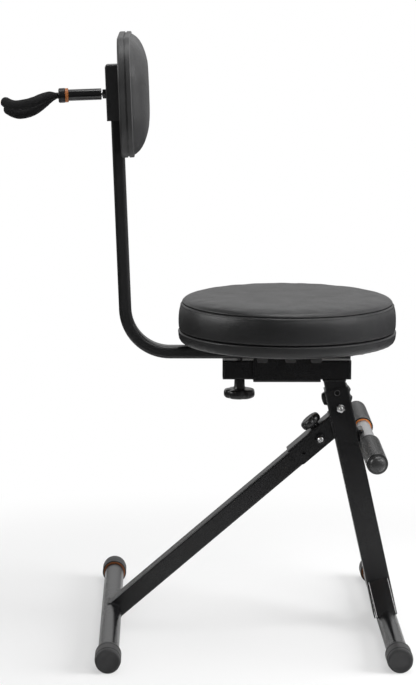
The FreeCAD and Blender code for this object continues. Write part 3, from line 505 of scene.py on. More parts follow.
# seat cushion: top panel rolled over the edge, seam, side panel, seam, border
seatLook = {"base": 0.0731, "seamRadius": 0.1553, "seamRise": 0.0403, "pressure": 1.6, "stiffness": 18,
            "cap": 0.001, "groove": 0.0013, "grooveReach": 0.0011, "pucker": 0.00008, "puckerReach": 0.006,
            "puckers": 74, "swell": 0.0003, "swellReach": 0.01, "flat": 0.12, "heldBase": 0.002,
            "heldSeam": 0.001, "heldReach": 0.148, "steps": 144, "rings": [
                (0.004, 0), (0.05, 0), (0.11, 0), (0.150, 0), (0.1550, 0.0001), (0.1570, 0.0005),
                (0.1584, 0.0013), (0.1592, 0.0026), (0.1596, 0.0050), (0.1598, 0.0110), (0.1598, 0.0180),
                (0.1595, 0.0240), (0.1588, 0.0295), (0.1579, 0.0335), (0.1568, 0.0368), (0.1560, 0.0386),
                (0.1556, 0.0396), (0.1553, 0.0403), (0.1552, 0.0410), (0.1549, 0.0420), (0.1544, 0.0432),
                (0.1535, 0.0446), (0.1522, 0.0459), (0.1504, 0.0470), (0.1480, 0.0478), (0.1450, 0.0484),
                (0.1410, 0.0488), (0.1350, 0.0491), (0.1250, 0.0493), (0.1100, 0.0494), (0.0850, 0.0494),
                (0.0600, 0.0494), (0.0350, 0.0494), (0.0150, 0.0494), (0.0040, 0.0494)]}
s = seatLook
cushion = ringStack("seat_pad", s["rings"], s["steps"])
plump(cushion, seatLook, lambda co: co.z < s["heldBase"] or (abs(co.z - s["seamRise"]) < s["heldSeam"]
                                                             and co.xy.length > s["heldReach"]))
for vertex in cushion.data.vertices:
    co = vertex.co
    reach = co.xy.length
    if reach < s["flat"]:
        continue
    angle = math.atan2(co.y, co.x)
    gap = math.hypot(reach - s["seamRadius"], co.z - s["seamRise"])
    fold = noise.noise(Vector((math.cos(angle) * 9, math.sin(angle) * 9, co.z * 30)))
    draw = s["groove"] * math.exp(-(gap / s["grooveReach"]) ** 2)
    pucker = s["pucker"] * math.sin(angle * s["puckers"] + fold * 5) * math.exp(-(gap / s["puckerReach"]) ** 2)
    swell = s["swell"] * fold * min(1, gap / s["swellReach"])
    scale = 1 + (swell + pucker - draw) / reach
    vertex.co = (co.x * scale, co.y * scale, co.z)
seatTop = seatFrame @ Matrix.Translation((0, 0, s["base"]))
settle(cushion, seatTop)
smooth(cushion, 80)
fit(cushion, "seat", "cover_vinyl", seatVinyl, "seat_cushion")


def hoop(name, profile, steps):
    # a closed outline of radius and height, spun round Z
    clearPick()
    bpy.ops.mesh.primitive_circle_add(vertices=len(profile), radius=0.01, fill_type="NOTHING")
    piece = bpy.context.object
    piece.name = name
    for vertex, (radius, height) in zip(piece.data.vertices, profile):
        vertex.co = (radius, 0, height)
    editAll()
    bpy.ops.mesh.spin(steps=steps, angle=math.tau, center=(0, 0, 0), axis=(0, 0, 1))
    bpy.ops.mesh.select_all(action="SELECT")
    bpy.ops.mesh.remove_doubles(threshold=0.00002)
    bpy.ops.mesh.normals_make_consistent(inside=False)
    leaveEdit()
    return piece


borderLook = {"floor": 0.055, "thick": 0.018, "inner": 0.1478, "pleats": 46, "pleat": 0.0004,
              "pleatRise": 0.008, "swell": 0.0002}
b = borderLook
border = hoop("seat_border_wrap", [
    (b["inner"], 0), (0.1515, 0), (0.1545, 0.0008), (0.1571, 0.0028), (0.1588, 0.0058), (0.1597, 0.0095),
    (0.1600, 0.0128), (0.1602, 0.0146), (0.1604, 0.0157), (0.1602, 0.0166), (0.1593, 0.0174), (0.1575, 0.0179),
    (0.1530, 0.0180), (b["inner"], b["thick"])], 160)
for vertex in border.data.vertices:
    co = vertex.co
    angle = math.atan2(co.y, co.x)
    fold = noise.noise(Vector((math.cos(angle) * 7, math.sin(angle) * 7, 3)))
    pleat = b["pleat"] * math.sin(angle * b["pleats"] + fold * 4) * max(0, 1 - co.z / b["pleatRise"])
    scale = 1 + (pleat + b["swell"] * fold) / co.xy.length
    vertex.co = (co.x * scale, co.y * scale, co.z)
settle(border, seatFrame @ Matrix.Translation((0, 0, b["floor"])))
smooth(border, 60)
fit(border, "seat", "black_vinyl", seatVinyl, "seat_border")


stitchLook = {"radius": 0.1566, "rise": 0.0371, "count": 214, "lean": 0.05, "thick": 0.00042, "length": 0.0034,
              "edge": 0.0003}


def stitchRing(name, look):
    # one stitch, tapered at its ends, copied round the seat
    clearPick()
    bpy.ops.mesh.primitive_cylinder_add(vertices=6, radius=look["thick"], depth=look["length"],
                                        rotation=(math.radians(90), 0, 0))
    piece = bpy.context.object
    piece.name = name
    freeze()
    editAll()
    bpy.ops.mesh.bevel(offset=look["edge"], segments=1, affect="EDGES")
    bpy.ops.mesh.select_all(action="SELECT")
    bpy.ops.transform.rotate(value=look["lean"], orient_axis="X", center_override=(0, 0, 0))
    bpy.ops.transform.translate(value=(look["radius"], 0, look["rise"]))
    copiedRound(look["count"])
    return piece


stitches = stitchRing("seat_stitches", stitchLook)
settle(stitches, seatTop)
fit(stitches, "seat", "cover_vinyl", thread)


weltLook = {"lower": (0.1562, 0.0001, 0.0007), "upper": (s["seamRadius"] - 0.0016, s["seamRise"], 0.0006),
            "wave": 0.00012, "waves": 107}   # each cord: radius, height and thickness


def welt(name, radius, rise, thick):
    # a thin sewn cord round the seat, waved a little up and down
    clearPick()
    bpy.ops.mesh.primitive_torus_add(major_radius=radius, minor_radius=thick, major_segments=180,
                                     minor_segments=10, location=(0, 0, 0))
    piece = bpy.context.object
    piece.name = name
    for vertex in piece.data.vertices:
        angle = math.atan2(vertex.co.y, vertex.co.x)
        vertex.co.z += rise + weltLook["wave"] * math.sin(angle * weltLook["waves"])
    return piece


# the cords are near-black: painted shade in the seat's seam gaps
lowerWelt = welt("seat_lower_welt", *weltLook["lower"])
upperWelt = welt("seat_upper_welt", *weltLook["upper"])
for piece in (lowerWelt, upperWelt):
    settle(piece, seatTop)
    smooth(piece, 60)
    fit(piece, "seat", "cover_vinyl", seamShade)
print("seat upholstered")


# backrest cushion: a rounded panel drawn in at its edge and crowned to the front
backLook = {"width": 0.300, "height": 0.170, "corner": 0.060, "back": 0.0227, "thick": 0.0236,
            "layers": [(0.0, 0.0034), (0.06, 0.0034), (0.16, 0.0046), (0.34, 0.0078), (0.52, 0.0122),
                       (0.68, 0.0174), (0.80, 0.0232), (0.89, 0.0300), (0.95, 0.0375), (0.985, 0.0470),
                       (1.0, 0.0580), (1.004, 0.0690), (1.006, 0.0790)],
            "pressure": 1.6, "stiffness": 18, "cap": 0.001, "held": 0.0025, "edge": 0.004, "swell": 0.0003,
            "swellReach": 0.01, "ripple": 0.0001, "ripples": 420}


def roundedPanel(name, width, height, corner, segments):
    clearPick()
    bpy.ops.mesh.primitive_plane_add(size=1)
    piece = bpy.context.object
    piece.name = name
    piece.scale = (width, height, 1)
    freeze()
    editAll()
    bpy.ops.mesh.bevel(offset=corner, segments=segments, affect="VERTICES")
    bpy.ops.mesh.select_all(action="SELECT")
    return piece


k = backLook
backPad = roundedPanel("back_pad", k["width"], k["height"], k["corner"], 16)
drawn = k["layers"][0][1]
bpy.ops.transform.resize(value=(1 - 2 * drawn / k["width"], 1 - 2 * drawn / k["height"], 1),
                         center_override=(0, 0, 0))
for (share, draw), (nextShare, nextDraw) in zip(k["layers"], k["layers"][1:]):
    bpy.ops.mesh.extrude_region_move(TRANSFORM_OT_translate={"value": (0, 0, (nextShare - share) * k["thick"])})
    growX = (k["width"] - 2 * nextDraw) / (k["width"] - 2 * draw)
    growY = (k["height"] - 2 * nextDraw) / (k["height"] - 2 * draw)
    bpy.ops.transform.resize(value=(growX, growY, 1), center_override=(0, 0, 0))
bpy.ops.mesh.select_all(action="SELECT")
bpy.ops.mesh.normals_make_consistent(inside=False)
leaveEdit()
weave = backPad.modifiers.new("weave", "SUBSURF")
weave.subdivision_type = "SIMPLE"
weave.levels = weave.render_levels = 2
applyAll(backPad)
plump(backPad, backLook, lambda co: co.z < k["held"])
for vertex in backPad.data.vertices:
    co = vertex.co
    fold = noise.noise(Vector((co.x * 28, co.y * 28, 5)))
    edge = math.exp(-((co.z - k["edge"]) / k["edge"]) ** 2)
    co.z += k["swell"] * fold * min(1, co.z / k["swellReach"])
    ripple = k["ripple"] * math.sin((co.x - co.y) * k["ripples"] + fold * 6) * edge
    co.x *= 1 + ripple / 0.1
    co.y *= 1 + ripple / 0.08
settle(backPad, backFrame @ Matrix.Translation((k["back"], 0, 0)) @ faceForward)
smooth(backPad, 80)
fit(backPad, "backrest", "cover_vinyl", litBackVinyl, "back_cushion")

pipingLook = {"thick": 0.0014, "inset": 0.0014, "rise": 0.0003}
inset = pipingLook["inset"]
piping = roundedPanel("back_piping", k["width"] - 2 * inset, k["height"] - 2 * inset, k["corner"] - inset, 14)
bpy.ops.mesh.delete(type="ONLY_FACE")
leaveEdit()
bpy.ops.object.convert(target="CURVE")
piping = bpy.context.object
piping.data.bevel_depth = pipingLook["thick"]
piping.data.bevel_resolution = 3
bpy.ops.object.convert(target="MESH")
piping = bpy.context.object
settle(piping, backFrame @ Matrix.Translation((k["back"] + pipingLook["rise"], 0, 0)) @ faceForward)
smooth(piping, 60)
# the piping's light colour is a painted highlight
fit(piping, "backrest", "cover_vinyl", pipingHighlightVinyl)
print("backrest upholstered")


# footrest grips: a knurled sleeve with a smooth lip and a domed end
gripLook = {"ahead": 0.029, "rise": 0.2679, "inner": 0.064, "radius": 0.0141, "low": 0.0035, "high": 0.1318,
            "steps": 24, "rows": 13, "knurl": 0.0014, "gap": 0.0010, "crest": (0.0147, 0.0153),
            "core": (0.0135, 0.0141),
            "lip": [(0.01305, 0.004), (0.01305, 0.0002), (0.0137, 0), (0.0149, 0.0002), (0.0154, 0.0008),
                    (0.0154, 0.0026), (0.0149, 0.0034), (0.0140, 0.0037)],
            "dome": [(0.0138, 0.1314), (0.0150, 0.1316), (0.0152, 0.1321), (0.0146, 0.1328), (0.0130, 0.1332),
                     (0.0119, 0.1333), (0.0117, 0.1338), (0.0115, 0.1350), (0.0108, 0.1368), (0.0096, 0.1383),
                     (0.0078, 0.1396), (0.0056, 0.1405), (0.0030, 0.1409), (0.0006, 0.1410)]}


def knurledSleeve(name, look):
    step = (look["high"] - look["low"]) / look["rows"]
    rings = [(look["radius"], look["low"] + step * i) for i in range(look["rows"] + 1)]
    piece = ringStack(name, rings, look["steps"], False, False)
    grid = len(piece.data.vertices)
    pickOnly(piece)
    bpy.ops.object.mode_set(mode="EDIT")
    bpy.ops.mesh.select_mode(type="EDGE")
    bpy.ops.mesh.select_all(action="SELECT")
    bpy.ops.mesh.poke(offset=0.0)
    bpy.ops.mesh.select_all(action="DESELECT")
    leaveEdit()
    spots = piece.data.vertices
    for edge in piece.data.edges:   # the old squares go, and diamonds are left
        heights = [spots[i].co.z for i in edge.vertices]
        inside = min(heights) < look["high"] - step * 0.1 and max(heights) > look["low"] + step * 0.1
        edge.select = max(edge.vertices) < grid and inside
    bpy.ops.object.mode_set(mode="EDIT")
    bpy.ops.mesh.dissolve_edges(use_verts=False)
    bpy.ops.mesh.select_all(action="SELECT")
    bpy.ops.mesh.inset(thickness=look["gap"], depth=look["knurl"], use_individual=True)
    leaveEdit()
    return piece


g = gripLook
gripParts = []
for side, turnOut in ((1, alongY), (-1, towardsNear)):
    lip = ringStack("grip_lip", g["lip"], 48, False, False)
    dome = ringStack("grip_dome", g["dome"], 48, False, True)
    sleeve = joined("grip", [knurledSleeve("grip", g), lip, dome])
    settle(sleeve, legFrame @ Matrix.Translation((g["ahead"], side * g["inner"], g["rise"])) @ turnOut)
    gripParts.append(sleeve)
grips = joined("knurled_grips", gripParts)
smooth(grips, 24)
knurlRubber, shader, place = newFinish("knurl_rubber", (0.02, 0.02, 0.0205), 0.3)
axis = legFrame @ Vector((g["ahead"], 0, g["rise"]))
across = place.node("ShaderNodeSeparateXYZ", None, {0: place})
upward = place.node("ShaderNodeSeparateXYZ", None, {0: place}, 2)
reach = (across - axis.x) ** 2 + (upward - axis.z) ** 2   # squared distance from the bar's axis
crest, core = ([radius ** 2 for radius in g[name]] for name in ("crest", "core"))
# crests painted light and grooves painted dark by their distance from the bar's axis, the dome inside the core
# kept mid-dark: painted highlight and painted shade
wearAndKnurlShade = band(reach, *crest) + band(reach, *core, 0.3, 0.0)   # the grooves stay dark
feed(shader, "Base Color", tint(wearAndKnurlShade, (0.002, 0.002, 0.002), (0.1, 0.1, 0.101)))
feed(shader, "Roughness", 0.26 + cloud(place, 300) * 0.12)
fit(grips, "front_leg", "black_rubber", knurlRubber, "footrest_grips")
print("grips knurled")

# hanger yoke: a foam tube on each prong, drawn thin at the root
yokeLook = {"hub": -0.0871, "roll": 14.5, "reach": 0.071, "half": 0.034, "thick": 0.0077, "voxel": 0.0012,
            "dimple": 0.00035, "dimples": 130,
            "prong": [(0.0, 0.03, 0.0, 0.58), (0.09, 0.16, -0.0008, 0.82), (0.2, 0.36, -0.0035, 0.98),
                      (0.44, 0.86, -0.014, 1.0), (0.7, 1.0, -0.019, 1.0), (0.89, 0.93, -0.018, 1.0),
                      (1.0, 0.85, -0.0125, 0.98)]}


def softTube(name, points, thick):
    # points are x, y, z and a share of the thickness
    clearPick()
    bpy.ops.curve.primitive_nurbs_path_add()
    piece = bpy.context.object
    piece.name = name
    line = piece.data.splines[0]
    line.points.add(max(0, len(points) - len(line.points)))
    for point, (x, y, z, share) in zip(line.points, points):
        point.co = (x, y, z, 1)
        point.radius = share
    line.order_u = 3
    line.use_endpoint_u = True
    piece.data.bevel_depth = thick
    piece.data.bevel_resolution = 6
    piece.data.use_fill_caps = True
    bpy.ops.object.convert(target="MESH")
    return bpy.context.object


y = yokeLook
prongs = []
for side in (1, -1):
    route = [(-y["reach"] * out, y["half"] * across * side, rise, share)
             for out, across, rise, share in y["prong"]]
    prongs.append(softTube("yoke_prong", route, y["thick"]))
    clearPick()
    bpy.ops.mesh.primitive_uv_sphere_add(segments=24, ring_count=14, radius=y["thick"] * 0.99,
                                         location=route[-1][:3])
    freeze()
    prongs.append(bpy.context.object)
yoke = joined("yoke_foam", prongs)
skin = yoke.modifiers.new("skin", "REMESH")
skin.mode = "VOXEL"
skin.voxel_size = y["voxel"]
relax = yoke.modifiers.new("relax", "SMOOTH")
relax.factor = 0.5
relax.iterations = 4
applyAll(yoke)
for vertex in yoke.data.vertices:
    vertex.co += vertex.normal * y["dimple"] * noise.noise(vertex.co * y["dimples"])
yokeRoll = Matrix.Rotation(math.radians(-y["roll"]), 4, "X")
settle(yoke, backFrame @ Matrix.Translation((y["hub"], 0, 0)) @ yokeRoll)
smooth(yoke, 60)
fit(yoke, "hanger_yoke", "black_foam", softFoam, "yoke_sleeve")
print("yoke padded")


# fasteners: turned hexagons and threads
def boolean(piece, other, operation):
    trim = piece.modifiers.new("trim", "BOOLEAN")
    trim.operation = operation
    trim.solver = "EXACT"
    trim.object = other
    applyAll(piece)
    bpy.data.objects.remove(other)


def coneHex(name, flats, low, high, hole=0.0):
    # a hexagon whose corners are turned off to a cone at both ends
    corner = flats / math.sqrt(3)
    clearPick()
    bpy.ops.mesh.primitive_cylinder_add(vertices=6, radius=corner, depth=high - low,
                                        location=(0, 0, (low + high) / 2))
    nut = bpy.context.object
    nut.name = name
    freeze()
    face, drop = flats * 0.475, (corner * 1.03 - flats * 0.475) * 0.5
    boolean(nut, ringStack("turning", [(face, low - 0.00002), (corner * 1.03, low + drop),
                                       (corner * 1.03, high - drop), (face, high + 0.00002)], 48), "INTERSECT")
    if hole:
        boolean(nut, ringStack("drill", [(hole * 1.1, low - 0.0001), (hole, low + 0.0004),
                                         (hole, high - 0.0004), (hole * 1.1, high + 0.0001)], 32), "DIFFERENCE")
    return nut


def threadedRod(name, radius, low, high, pitch=0.00125):
    rings = [(radius * 0.7, low), (radius * 0.86, low + 0.0006)]
    turns = int((high - low - 0.0012) / pitch)
    for i in range(turns):
        base = low + 0.0006 + i * pitch
        rings += [(radius * 0.88, base + pitch * 0.1), (radius * 0.995, base + pitch * 0.4),
                  (radius * 0.995, base + pitch * 0.6), (radius * 0.88, base + pitch * 0.9)]
    return ringStack(name, rings + [(radius * 0.86, high - 0.0006), (radius * 0.7, high)], 24)


boltLook = {"flats": 0.013, "head": (0.0186, 0.0239), "radius": 0.00398, "shank": (-0.0271, 0.0190),
            "nut": (-0.0251, -0.0186), "hole": 0.00402}
hingeBolt = joined("hinge_bolt_turned", [coneHex("hinge_head", boltLook["flats"], *boltLook["head"]),
                                         threadedRod("hinge_shank", boltLook["radius"], *boltLook["shank"])])
hingeNut = coneHex("hinge_nut_turned", boltLook["flats"], *boltLook["nut"], boltLook["hole"])
for piece, node, slotName, finish in ((hingeBolt, "hinge_bolt", "zinc", zincPlate),
                                      (hingeNut, "hinge_nut", "black_paint", satinBlack)):
    settle(piece, hingeFrame @ alongY)
    smooth(piece, 30)
    fit(piece, "front_leg", slotName, finish, node)
stopLook = {"rise": 0.3208, "radius": 0.00298, "shank": (0.0106, 0.0275), "pitch": 0.001, "flats": 0.011,
            "nut": (0.0175, 0.0225), "hole": 0.00304}
stopFrame = legFrame @ Matrix.Translation((0, 0, stopLook["rise"])) @ towardsNear
stopScrew = threadedRod("stop_screw_turned", stopLook["radius"], *stopLook["shank"], stopLook["pitch"])
stopNut = coneHex("stop_nut_turned", stopLook["flats"], *stopLook["nut"], stopLook["hole"])
for piece, node in ((stopScrew, "stop_screw"), (stopNut, "stop_nut")):
    settle(piece, stopFrame)
    smooth(piece, 30)
    fit(piece, "front_leg", "zinc", zincPlate, node)
lockLook = {"flats": 0.013, "nut": (0.0146, 0.0196), "hole": 0.00405}
lockNut = coneHex("lock_nut_turned", lockLook["flats"], *lockLook["nut"], lockLook["hole"])
settle(lockNut, backFrame @ Matrix.Rotation(math.radians(-90), 4, "Y"))
smooth(lockNut, 30)
fit(lockNut, "backrest", "black_paint", satinBlack, "hanger_lock_nut")
sightLook = {"wall": -0.0175, "rise": 0.3438,
             "profile": [(0.00345, -0.0012), (0.0036, -0.0012), (0.0036, 0.0001), (0.0044, 0.0001),
                         (0.0043, 0.0005), (0.0039, 0.0007), (0.0035, 0.0004)]}
sightRim = hoop("sight_rim", sightLook["profile"], 32)
settle(sightRim, legFrame @ Matrix.Translation((0, sightLook["wall"], sightLook["rise"])) @ towardsNear)
smooth(sightRim, 40)
fit(sightRim, "front_leg", "black_paint", greyPlate)
print("fasteners turned")


# clamp knobs: turned, then scalloped round the rim
lobeLook = {"count": 5, "out": 1.13, "radius": 0.27, "start": 0.6, "run": 0.3,   # flutes, as shares of the radius
            "gap": 0.0003}


def scallopedKnob(name, radius, thick, hub, hubLength):
    gap = lobeLook["gap"]
    low = gap + hubLength
    top = low + thick
    piece = ringStack(name, [
        (hub * 0.9, gap), (hub, gap + hubLength * 0.15), (hub, low - hubLength * 0.25),
        (hub * 1.1, low - hubLength * 0.04), (radius - 0.0046, low),
        (radius - 0.0018, low + 0.0008), (radius - 0.0004, low + 0.0024), (radius, low + 0.0045),
        (radius, top - 0.0050), (radius - 0.0006, top - 0.0030), (radius - 0.0022, top - 0.0012),
        (radius - 0.0048, top - 0.0002), (radius * 0.66, top), (radius * 0.60, top - 0.0003),
        (radius * 0.56, top - 0.0011), (radius * 0.3, top - 0.0009), (radius * 0.06, top - 0.0008)], 128)
    for vertex in piece.data.vertices:
        co = vertex.co
        reach = co.xy.length
        if reach < radius * lobeLook["start"]:
            continue
        part = math.tau / lobeLook["count"]
        off = (math.atan2(co.y, co.x) + part / 2) % part - part / 2
        inside = lobeLook["radius"] ** 2 - (lobeLook["out"] * math.sin(off)) ** 2
        rim = min(1.0, lobeLook["out"] * math.cos(off) - math.sqrt(inside)) if inside > 0 else 1.0
        share = min(1, (reach / radius - lobeLook["start"]) / lobeLook["run"])
        scale = 1 - (1 - rim) * share
        vertex.co = (co.x * scale, co.y * scale, co.z)
    relax = piece.modifiers.new("relax", "SMOOTH")
    relax.factor = 0.4
    relax.iterations = 2
    applyAll(piece)
    return piece


# node, radius, thickness, hub radius, hub length and place
knobLooks = [("leg_knob", 0.0232, 0.0135, 0.008, 0.005,
              legFrame @ Matrix.Translation((0, 0.0245, 0.329)) @ alongY),
             ("hinge_knob", 0.016, 0.013, 0.006, 0.0012, hingeFrame @ Matrix.Translation((0.005, 0, 0.0183))),
             ("backrest_knob", 0.0232, 0.0135, 0.00775, 0.0155,
              seatFrame @ Matrix.Translation((-0.0695, 0, 0)) @ Matrix.Rotation(math.pi, 4, "X"))]
for node, radius, thick, hub, hubLength, spot in knobLooks:
    knob = scallopedKnob(node + "_grip", radius, thick, hub, hubLength)
    settle(knob, spot)
    smooth(knob, 40)
    fit(knob, node, "black_plastic", knobPlastic, node)
print("knobs scalloped")


# weld beads
weldLook = {"neck": 0.0150, "neckThick": 0.0019, "neckDrop": 0.0008, "rough": 0.4, "ripples": 420,
            "bracket": 0.0172, "bracketBack": -0.0178, "bracketRun": (0.2795, 0.3122), "bracketThick": 0.0017,
            "barSkin": 0.0151, "footThick": 0.0012, "rearAcross": 0.0142, "rearHalf": 1.2, "rearThick": 0.0010}


def evenSteps(corners, step=0.0011):
    spots = []
    for start, end in zip(corners, corners[1:]):
        count = max(1, round((end - start).length / step))
        spots += [start.lerp(end, i / count) for i in range(count)]
    return spots + [corners[-1]]


def weldBead(name, corners, thick):
    spots = evenSteps(corners)
    closed = (spots[0] - spots[-1]).length < 0.0001
    spots = spots[:-1] if closed else spots
    clearPick()
    bpy.ops.mesh.primitive_circle_add(vertices=len(spots), radius=0.01, fill_type="NOTHING")
    bead = bpy.context.object
    bead.name = name
    for vertex, spot in zip(bead.data.vertices, spots):
        vertex.co = spot
    if not closed:
        bpy.ops.object.mode_set(mode="EDIT")
        bpy.ops.mesh.select_mode(type="EDGE")
        bpy.ops.mesh.select_all(action="DESELECT")
        leaveEdit()
        for edge in bead.data.edges:
            edge.select = abs(edge.vertices[0] - edge.vertices[1]) > 1
        bpy.ops.object.mode_set(mode="EDIT")
        bpy.ops.mesh.delete(type="EDGE")
        leaveEdit()
    bpy.ops.object.convert(target="CURVE")
    bead = bpy.context.object
    bead.data.bevel_depth = thick
    bead.data.bevel_resolution = 2
    bead.data.use_fill_caps = True
    bpy.ops.object.convert(target="MESH")
    bead = bpy.context.object
    for vertex in bead.data.vertices:
        vertex.co += vertex.normal * thick * weldLook["rough"] * noise.noise(vertex.co * weldLook["ripples"])
    return bead


def legSpot(x, across, up):
    return legFrame @ Vector((x, across, up))


def neckSpot(x, across):
    lean = math.radians(stool["frontLean"])
    up = (stool["seat"][1] - stool["frontBar"][1] - x * math.sin(lean)) / math.cos(lean)
    return legSpot(x, across, up - weldLook["neckDrop"])


def barArc(spot, lean, across, half, steps=12):
    # along the round bar's skin, where a square tube's face ends on it
    skin = weldLook["barSkin"]
    return [Vector((spot[0] + skin * math.cos(lean + turn), across, spot[1] + skin * math.sin(lean + turn)))
            for turn in [half * (2 * i / steps - 1) for i in range(steps + 1)]]


half = weldLook["neck"]
neckCorners = [neckSpot(x * half, across * half) for x, across in ((-1, -1), (1, -1), (1, 1), (-1, 1), (-1, -1))]
neckWeld = weldBead("neck_weld", neckCorners, weldLook["neckThick"])
fit(neckWeld, "seat", "black_paint", satinBlack)
lowEnd, highEnd = weldLook["bracketRun"]
bracketCorners = [legSpot(weldLook["bracketBack"], side * weldLook["bracket"], up)
                  for side, up in ((-1, lowEnd), (-1, highEnd), (1, highEnd), (1, lowEnd))]
bracketWeld = weldBead("bracket_weld", bracketCorners, weldLook["bracketThick"])
frontLean = math.radians(90 + stool["frontLean"])
rearLean = math.radians(stool["rearSlope"])
# the front leg's bent walls end on the bar; their cut edges are drawn as light bare-steel strips, which also
# stand in for the edge highlights (painted highlight)
flapLook = {"fold": 0.0533, "root": 0.0166, "slope": 1.0538, "half": 0.9, "bar": 0.01485, "steps": 12}
footArcs = []
for side in (-1, 1):
    arc = barArc(stool["frontBar"], frontLean, 0.0, flapLook["half"], flapLook["steps"])
    for i, spot in enumerate(arc):
        drop = flapLook["fold"] - flapLook["bar"] * math.cos(flapLook["half"] * (2 * i / flapLook["steps"] - 1))
        spot.y = side * (flapLook["root"] + drop * flapLook["slope"])
    footArcs.append(weldBead("foot_weld", arc, weldLook["footThick"]))
frontWelds = joined("front_leg_welds", [bracketWeld] + footArcs)
fit(frontWelds, "front_leg", "black_paint", satinBlack)
cutLook = {"flap": 0.0143, "fold": 0.0148, "lean": 46.5, "start": 0.002, "reach": 0.0615, "middle": 0.01625,
           "skin": 0.00125, "thick": 0.00045, "crease": 0.0005}
edges, creases = [], []
out, down = math.sin(math.radians(cutLook["lean"])), math.cos(math.radians(cutLook["lean"]))
for side in (-1, 1):
    fold = Vector((0, side * (cutLook["middle"] + cutLook["skin"] * down),
                   flapLook["fold"] + cutLook["skin"] * out))
    run = Vector((0, side * out, -down))
    for edge in (-cutLook["flap"], cutLook["flap"]):
        root = fold + Vector((edge, 0, 0)) + run * cutLook["start"]
        ends = [legFrame @ root, legFrame @ (root + run * cutLook["reach"])]
        edges.append(weldBead("flap_edge_highlight", ends, cutLook["thick"]))
    ends = [legFrame @ (fold + Vector((x, 0, 0))) for x in (-cutLook["fold"], cutLook["fold"])]
    creases.append(weldBead("fold_shade_line", ends, cutLook["crease"]))
# near-black lines along the folds: painted shade
foldShadeLines = joined("foot_fold_shade_lines", creases)
fit(foldShadeLines, "front_leg", "black_paint", seamShade)
smooth(foldShadeLines, 60)
# light strips along the cut edges: painted highlight
cutEdgeHighlights = joined("foot_cut_edge_highlights", edges)
fit(cutEdgeHighlights, "front_leg", "zinc", footrestPlate)
smooth(cutEdgeHighlights, 60)
nearArc, farArc = (barArc(stool["rearBar"], rearLean, side * weldLook["rearAcross"], weldLook["rearHalf"])
                   for side in (-1, 1))
rearWeld = weldBead("rear_leg_weld", nearArc + farArc[::-1] + nearArc[:1], weldLook["rearThick"])
fit(rearWeld, "rear_leg", "black_paint", satinBlack)
for piece in (neckWeld, frontWelds, rearWeld):
    smooth(piece, 60)
print("welds laid")

# foot caps: moulded sleeves with a lip, a step and a dished end, cut flat under the sole
capLook = {"mouth": 0.225, "profile": [
    (0.01675, 0.0049), (0.01675, 0.0005), (0.0170, 0.0001), (0.0179, 0.0), (0.0184, 0.0004), (0.0186, 0.0013),
    (0.0186, 0.0068), (0.0184, 0.0072), (0.0182, 0.0076), (0.0182, 0.0082), (0.0184, 0.0086), (0.0185, 0.0092),
    (0.0186, 0.0270), (0.0186, 0.0284), (0.0183, 0.0291), (0.0179, 0.0294), (0.0178, 0.0300), (0.0178, 0.0352),
    (0.0174, 0.0367), (0.0166, 0.0376), (0.0155, 0.0380), (0.0142, 0.0380), (0.0137, 0.0377), (0.0060, 0.0376)]}
for node, body, spot in (("front_foot_caps", "front_leg", stool["frontBar"]),
                         ("rear_foot_caps", "rear_leg", stool["rearBar"])):
    pair = []
    for side, turnOut in ((1, alongY), (-1, towardsNear)):
        cap = ringStack("cap", capLook["profile"], 64, False, True)
        settle(cap, Matrix.Translation((spot[0], side * capLook["mouth"], spot[1])) @ turnOut)
        pair.append(cap)
    caps = joined(node + "_moulded", pair)
    editAll()
    bpy.ops.mesh.bisect(plane_co=(0, 0, 0.00002), plane_no=(0, 0, 1), use_fill=True, clear_inner=True)
    leaveEdit()
    smooth(caps, 40)
    fit(caps, body, "black_rubber", capRubber, node)

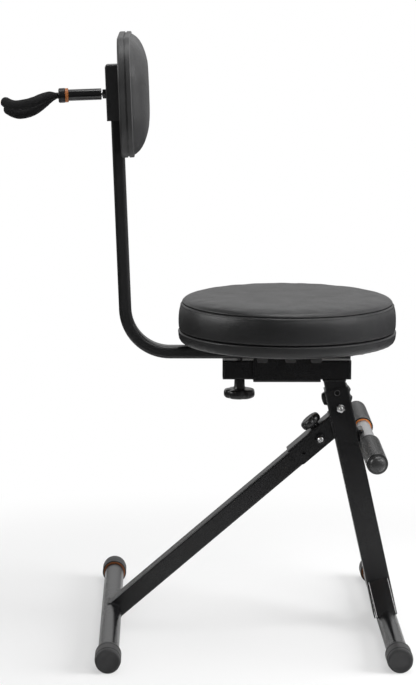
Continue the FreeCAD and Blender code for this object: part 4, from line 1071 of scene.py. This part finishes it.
# footrest cradle: a block with rounded edges, hollowed for the bar
cradleLook = {"size": (0.0088, 0.035, 0.028), "edge": 0.003, "bar": 0.01105, "leg": 0.0175}
cradleMiddle = cradleLook["leg"] + cradleLook["size"][0] / 2
clearPick()
bpy.ops.mesh.primitive_cube_add(size=1)
cradle = bpy.context.object
cradle.name = "rounded_cradle"
cradle.scale = cradleLook["size"]
freeze()
editAll()
bpy.ops.mesh.bevel(offset=cradleLook["edge"], segments=4, affect="EDGES")
leaveEdit()
hollow = ringStack("bar_space", [(cradleLook["bar"], -0.03), (cradleLook["bar"], 0.03)], 48)
settle(hollow, Matrix.Translation((g["ahead"] - cradleMiddle, 0, 0)) @ alongY)
boolean(cradle, hollow, "DIFFERENCE")
settle(cradle, legFrame @ Matrix.Translation((cradleMiddle, 0, g["rise"])))
smooth(cradle, 30)
fit(cradle, "front_leg", "black_paint", satinBlack, "footrest_cradle")

# underside of the seat: the cover's hem, stapled to the board
hemLook = {"profile": [(0.127, -0.0010), (0.134, -0.0013), (0.142, -0.0012), (0.1488, -0.0008),
                       (0.1488, -0.0001), (0.127, -0.0001)],
           "pleat": 0.0006, "rag": 0.02, "ragged": 0.13, "staples": 44, "stapleSpot": (0.1365, 0, -0.0018),
           "stapleSize": (0.0008, 0.0105, 0.0007), "stapleEdge": 0.0002}
hem = hoop("seat_hem", hemLook["profile"], 180)
for vertex in hem.data.vertices:
    co = vertex.co
    angle = math.atan2(co.y, co.x)
    fold = noise.noise(Vector((math.cos(angle) * 11, math.sin(angle) * 11, 8)))
    if co.z < -0.0005:
        co.z -= hemLook["pleat"] * max(0, math.sin(angle * hemLook["staples"] + fold * 3))
    if co.xy.length < hemLook["ragged"]:   # the cut edge isn't even
        scale = 1 + hemLook["rag"] * fold
        vertex.co = (co.x * scale, co.y * scale, co.z)
underside = seatFrame @ Matrix.Translation((0, 0, borderLook["floor"]))
settle(hem, underside)
smooth(hem, 50)
fit(hem, "seat", "black_vinyl", seatVinyl)
clearPick()
bpy.ops.mesh.primitive_cube_add(size=1, location=hemLook["stapleSpot"])
staples = bpy.context.object
staples.name = "hem_staples"
staples.scale = hemLook["stapleSize"]
freeze()
editAll()
bpy.ops.mesh.bevel(offset=hemLook["stapleEdge"], segments=1, affect="EDGES")
copiedRound(hemLook["staples"])
settle(staples, underside)
fit(staples, "seat", "zinc", zincPlate)
print("caps, cradle and hem made")
